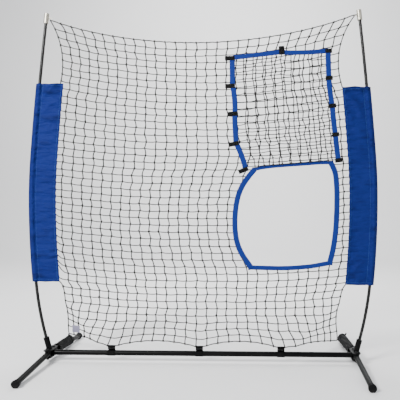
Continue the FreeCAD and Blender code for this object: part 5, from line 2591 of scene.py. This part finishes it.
@dataclass
class Label:
    """A blank label sewn to the front of the net's left corner."""

    shop: Workshop
    centre: Point2 = (-0.796, 0.182)
    size: Point2 = (0.061, 0.043)
    turn: float = math.radians(25.0)
    thick: float = 0.0009
    ahead: float = 0.007
    inset: float = 0.003
    wavy: float = 0.0013

    def build(self) -> None:
        """Builds the label and its stitching, seated in front of the folded corner."""
        corner = corner_of(-1)
        across, up = Vector((math.cos(self.turn), -math.sin(self.turn), 0.0)), Vector((0.0, 0.0, 1.0))
        x, z = self.centre
        half = across * (self.size[0] / 2)
        flat = halved(x - 0.2, x + 0.2, lambda at: corner.folded(at, z, 0.0).x < x + half.x)
        seat = Vector((x, corner.folded(flat, z, 0.0).y - half.y - self.ahead, z))

        def point(a: float, b: float, off: float = 0.0) -> Vector:
            """The point across by a and up by b, off the cloth's gentle waves."""
            lift = self.wavy * wave((a, b, 0), 45.0, 2.0)
            return seat + across * a + up * b + across.cross(up) * (lift + off)

        shares_a, shares_b = [c / 10 - 0.5 for c in range(11)], [k / 8 - 0.5 for k in range(9)]
        rows = [[point(a * self.size[0], b * self.size[1]) for a in shares_a] for b in shares_b]
        plate = shell("label_cloth", rows, self.thick, self.shop.label)
        w, h = self.size[0] / 2 - self.inset, self.size[1] / 2 - self.inset
        ends = [(-w, -h), (w, -h), (w, h), (-w, h)]
        off, runs = self.thick / 2 + SEAM_LIFT, []
        for (a0, b0), (a1, b1) in zip(ends, ends[1:] + ends[:1]):
            runs.append([point(a0 + (a1 - a0) * k / 8, b0 + (b1 - b0) * k / 8, off) for k in range(9)])
        seams = self.shop.stitches("label_seams", runs, Sewing.LABEL)
        piece = hand_over(merged("label_sewn", [plate, seams]), "label_fabric", "blank_label")
        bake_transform(piece)


# Steel, poles and studio


@dataclass
class Hardware:
    """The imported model's own steel, pole, metal and rubber nodes, with their finishes."""

    shop: Workshop

    def dress(self) -> None:
        """Gives each kept node its finish."""
        finishes = {
            "black_steel": self.shop.steel,
            "zinc_fasteners": self.shop.zinc,
            "black_pole": self.shop.rod,
            "tip_metal": self.shop.tip,
            "black_rubber": self.shop.rubber,
        }
        for part in frame["record"]["subparts"]:
            material = finishes.get(part["material_slot"])
            if material is None:
                continue
            node = frame["nodes"][part["node"]]
            for slot in node.material_slots:
                slot.material = material
            if not node.material_slots:
                node.data.materials.append(material)
        LOG.info("hardware dressed")


@dataclass(frozen=True)
class Lamp:
    """A square area light that faces a point; its power is in watts."""

    name: str
    eye: Triple
    aim: Triple
    size: float
    power: float

    def build(self) -> None:
        """Adds the light to the scene."""
        light = bpy.data.lights.new(self.name, "AREA")
        light.size, light.energy = self.size, self.power
        obj = bpy.data.objects.new(self.name, light)
        obj.location = self.eye
        obj.rotation_euler = (Vector(self.aim) - Vector(self.eye)).to_track_quat("-Z", "Y").to_euler()
        bpy.context.scene.collection.objects.link(obj)


@dataclass
class Studio:
    """The pale floor, the soft lights and the camera."""

    eye: Triple = (0.3298, -3.1791, 0.983)
    turn: Triple = (90.14, 0.0, 1.83)
    lens: float = 46.67
    sensor: float = 36.0
    shift_x: float = -0.0973
    far: float = 60.0
    reach: float = 14.0
    back: float = 5.0
    bend: float = 2.0
    rise: float = 7.0
    greys: Point2 = (0.84, 0.87)
    sky: tuple[float, ...] = (0.93, 0.95, 1.0, 1.0)
    sky_power: float = 0.5
    lamps: tuple[Lamp, ...] = (
        Lamp("key", (-2.6, -3.6, 3.6), (0.0, 0.0, 0.9), 1.4, 480.0),
        Lamp("fill", (3.4, -2.8, 2.2), (0.0, 0.0, 0.9), 2.8, 60.0),
        Lamp("rim", (0.6, 3.0, 3.4), (0.0, 0.0, 1.0), 2.2, 80.0),
        Lamp("wash", (0.0, 2.6, 5.2), (0.0, 7.0, 1.0), 4.0, 420.0),
    )

    def build(self) -> None:
        """Builds the floor, the lights and the camera."""
        s = Shader("studio floor")
        dark, pale = ((grey, grey, grey) for grey in self.greys)
        s.finish(s.mix(s.noise(0.8, 2.0), dark, pale), 0.85)
        profile = [(-self.reach, 0.0), (self.back, 0.0)]
        for k in range(1, 11):
            a = math.pi / 2 * k / 10
            profile.append((self.back + self.bend * math.sin(a), self.bend * (1 - math.cos(a))))
        profile.append((self.back + self.bend, self.rise))
        verts = [(x, y, z) for y, z in profile for x in (-self.reach, self.reach)]
        faces = [(2 * k, 2 * k + 1, 2 * k + 3, 2 * k + 2) for k in range(len(profile) - 1)]
        floor = shade(place_mesh("studio_floor", verts, faces), s.material)
        world = bpy.data.worlds.new("studio")
        world.use_nodes = True
        sky = world.node_tree.nodes["Background"]
        sky.inputs["Color"].default_value = self.sky
        sky.inputs["Strength"].default_value = self.sky_power
        bpy.context.scene.world = world
        for lamp in self.lamps:
            lamp.build()
        camera = bpy.data.cameras.new("camera")
        camera.sensor_width, camera.lens = self.sensor, self.lens
        camera.shift_x, camera.clip_end = self.shift_x, self.far
        view = bpy.data.objects.new("camera", camera)
        view.location = self.eye
        view.rotation_euler = [math.radians(a) for a in self.turn]
        bpy.context.scene.collection.objects.link(view)
        bpy.context.scene.camera = view


def main() -> None:
    """Builds every sub-assembly in order and reports each one."""
    logging.basicConfig(level=logging.INFO, format="%(name)s: %(message)s")
    Studio().build()
    shop = Workshop()
    Hardware(shop).dress()
    MainNet(shop).build()
    WindowBinding(shop).build()
    Flap(shop).build()
    for name in SIDES:
        Sleeve(shop, name).build()
        Boot(shop, name).build()
    for name, x in zip(("left", "middle", "right"), STRAPS):
        BaseStrap(shop, f"{name}_base_strap", x).build()
    Label(shop).build()


if __name__ == "__main__":
    main()
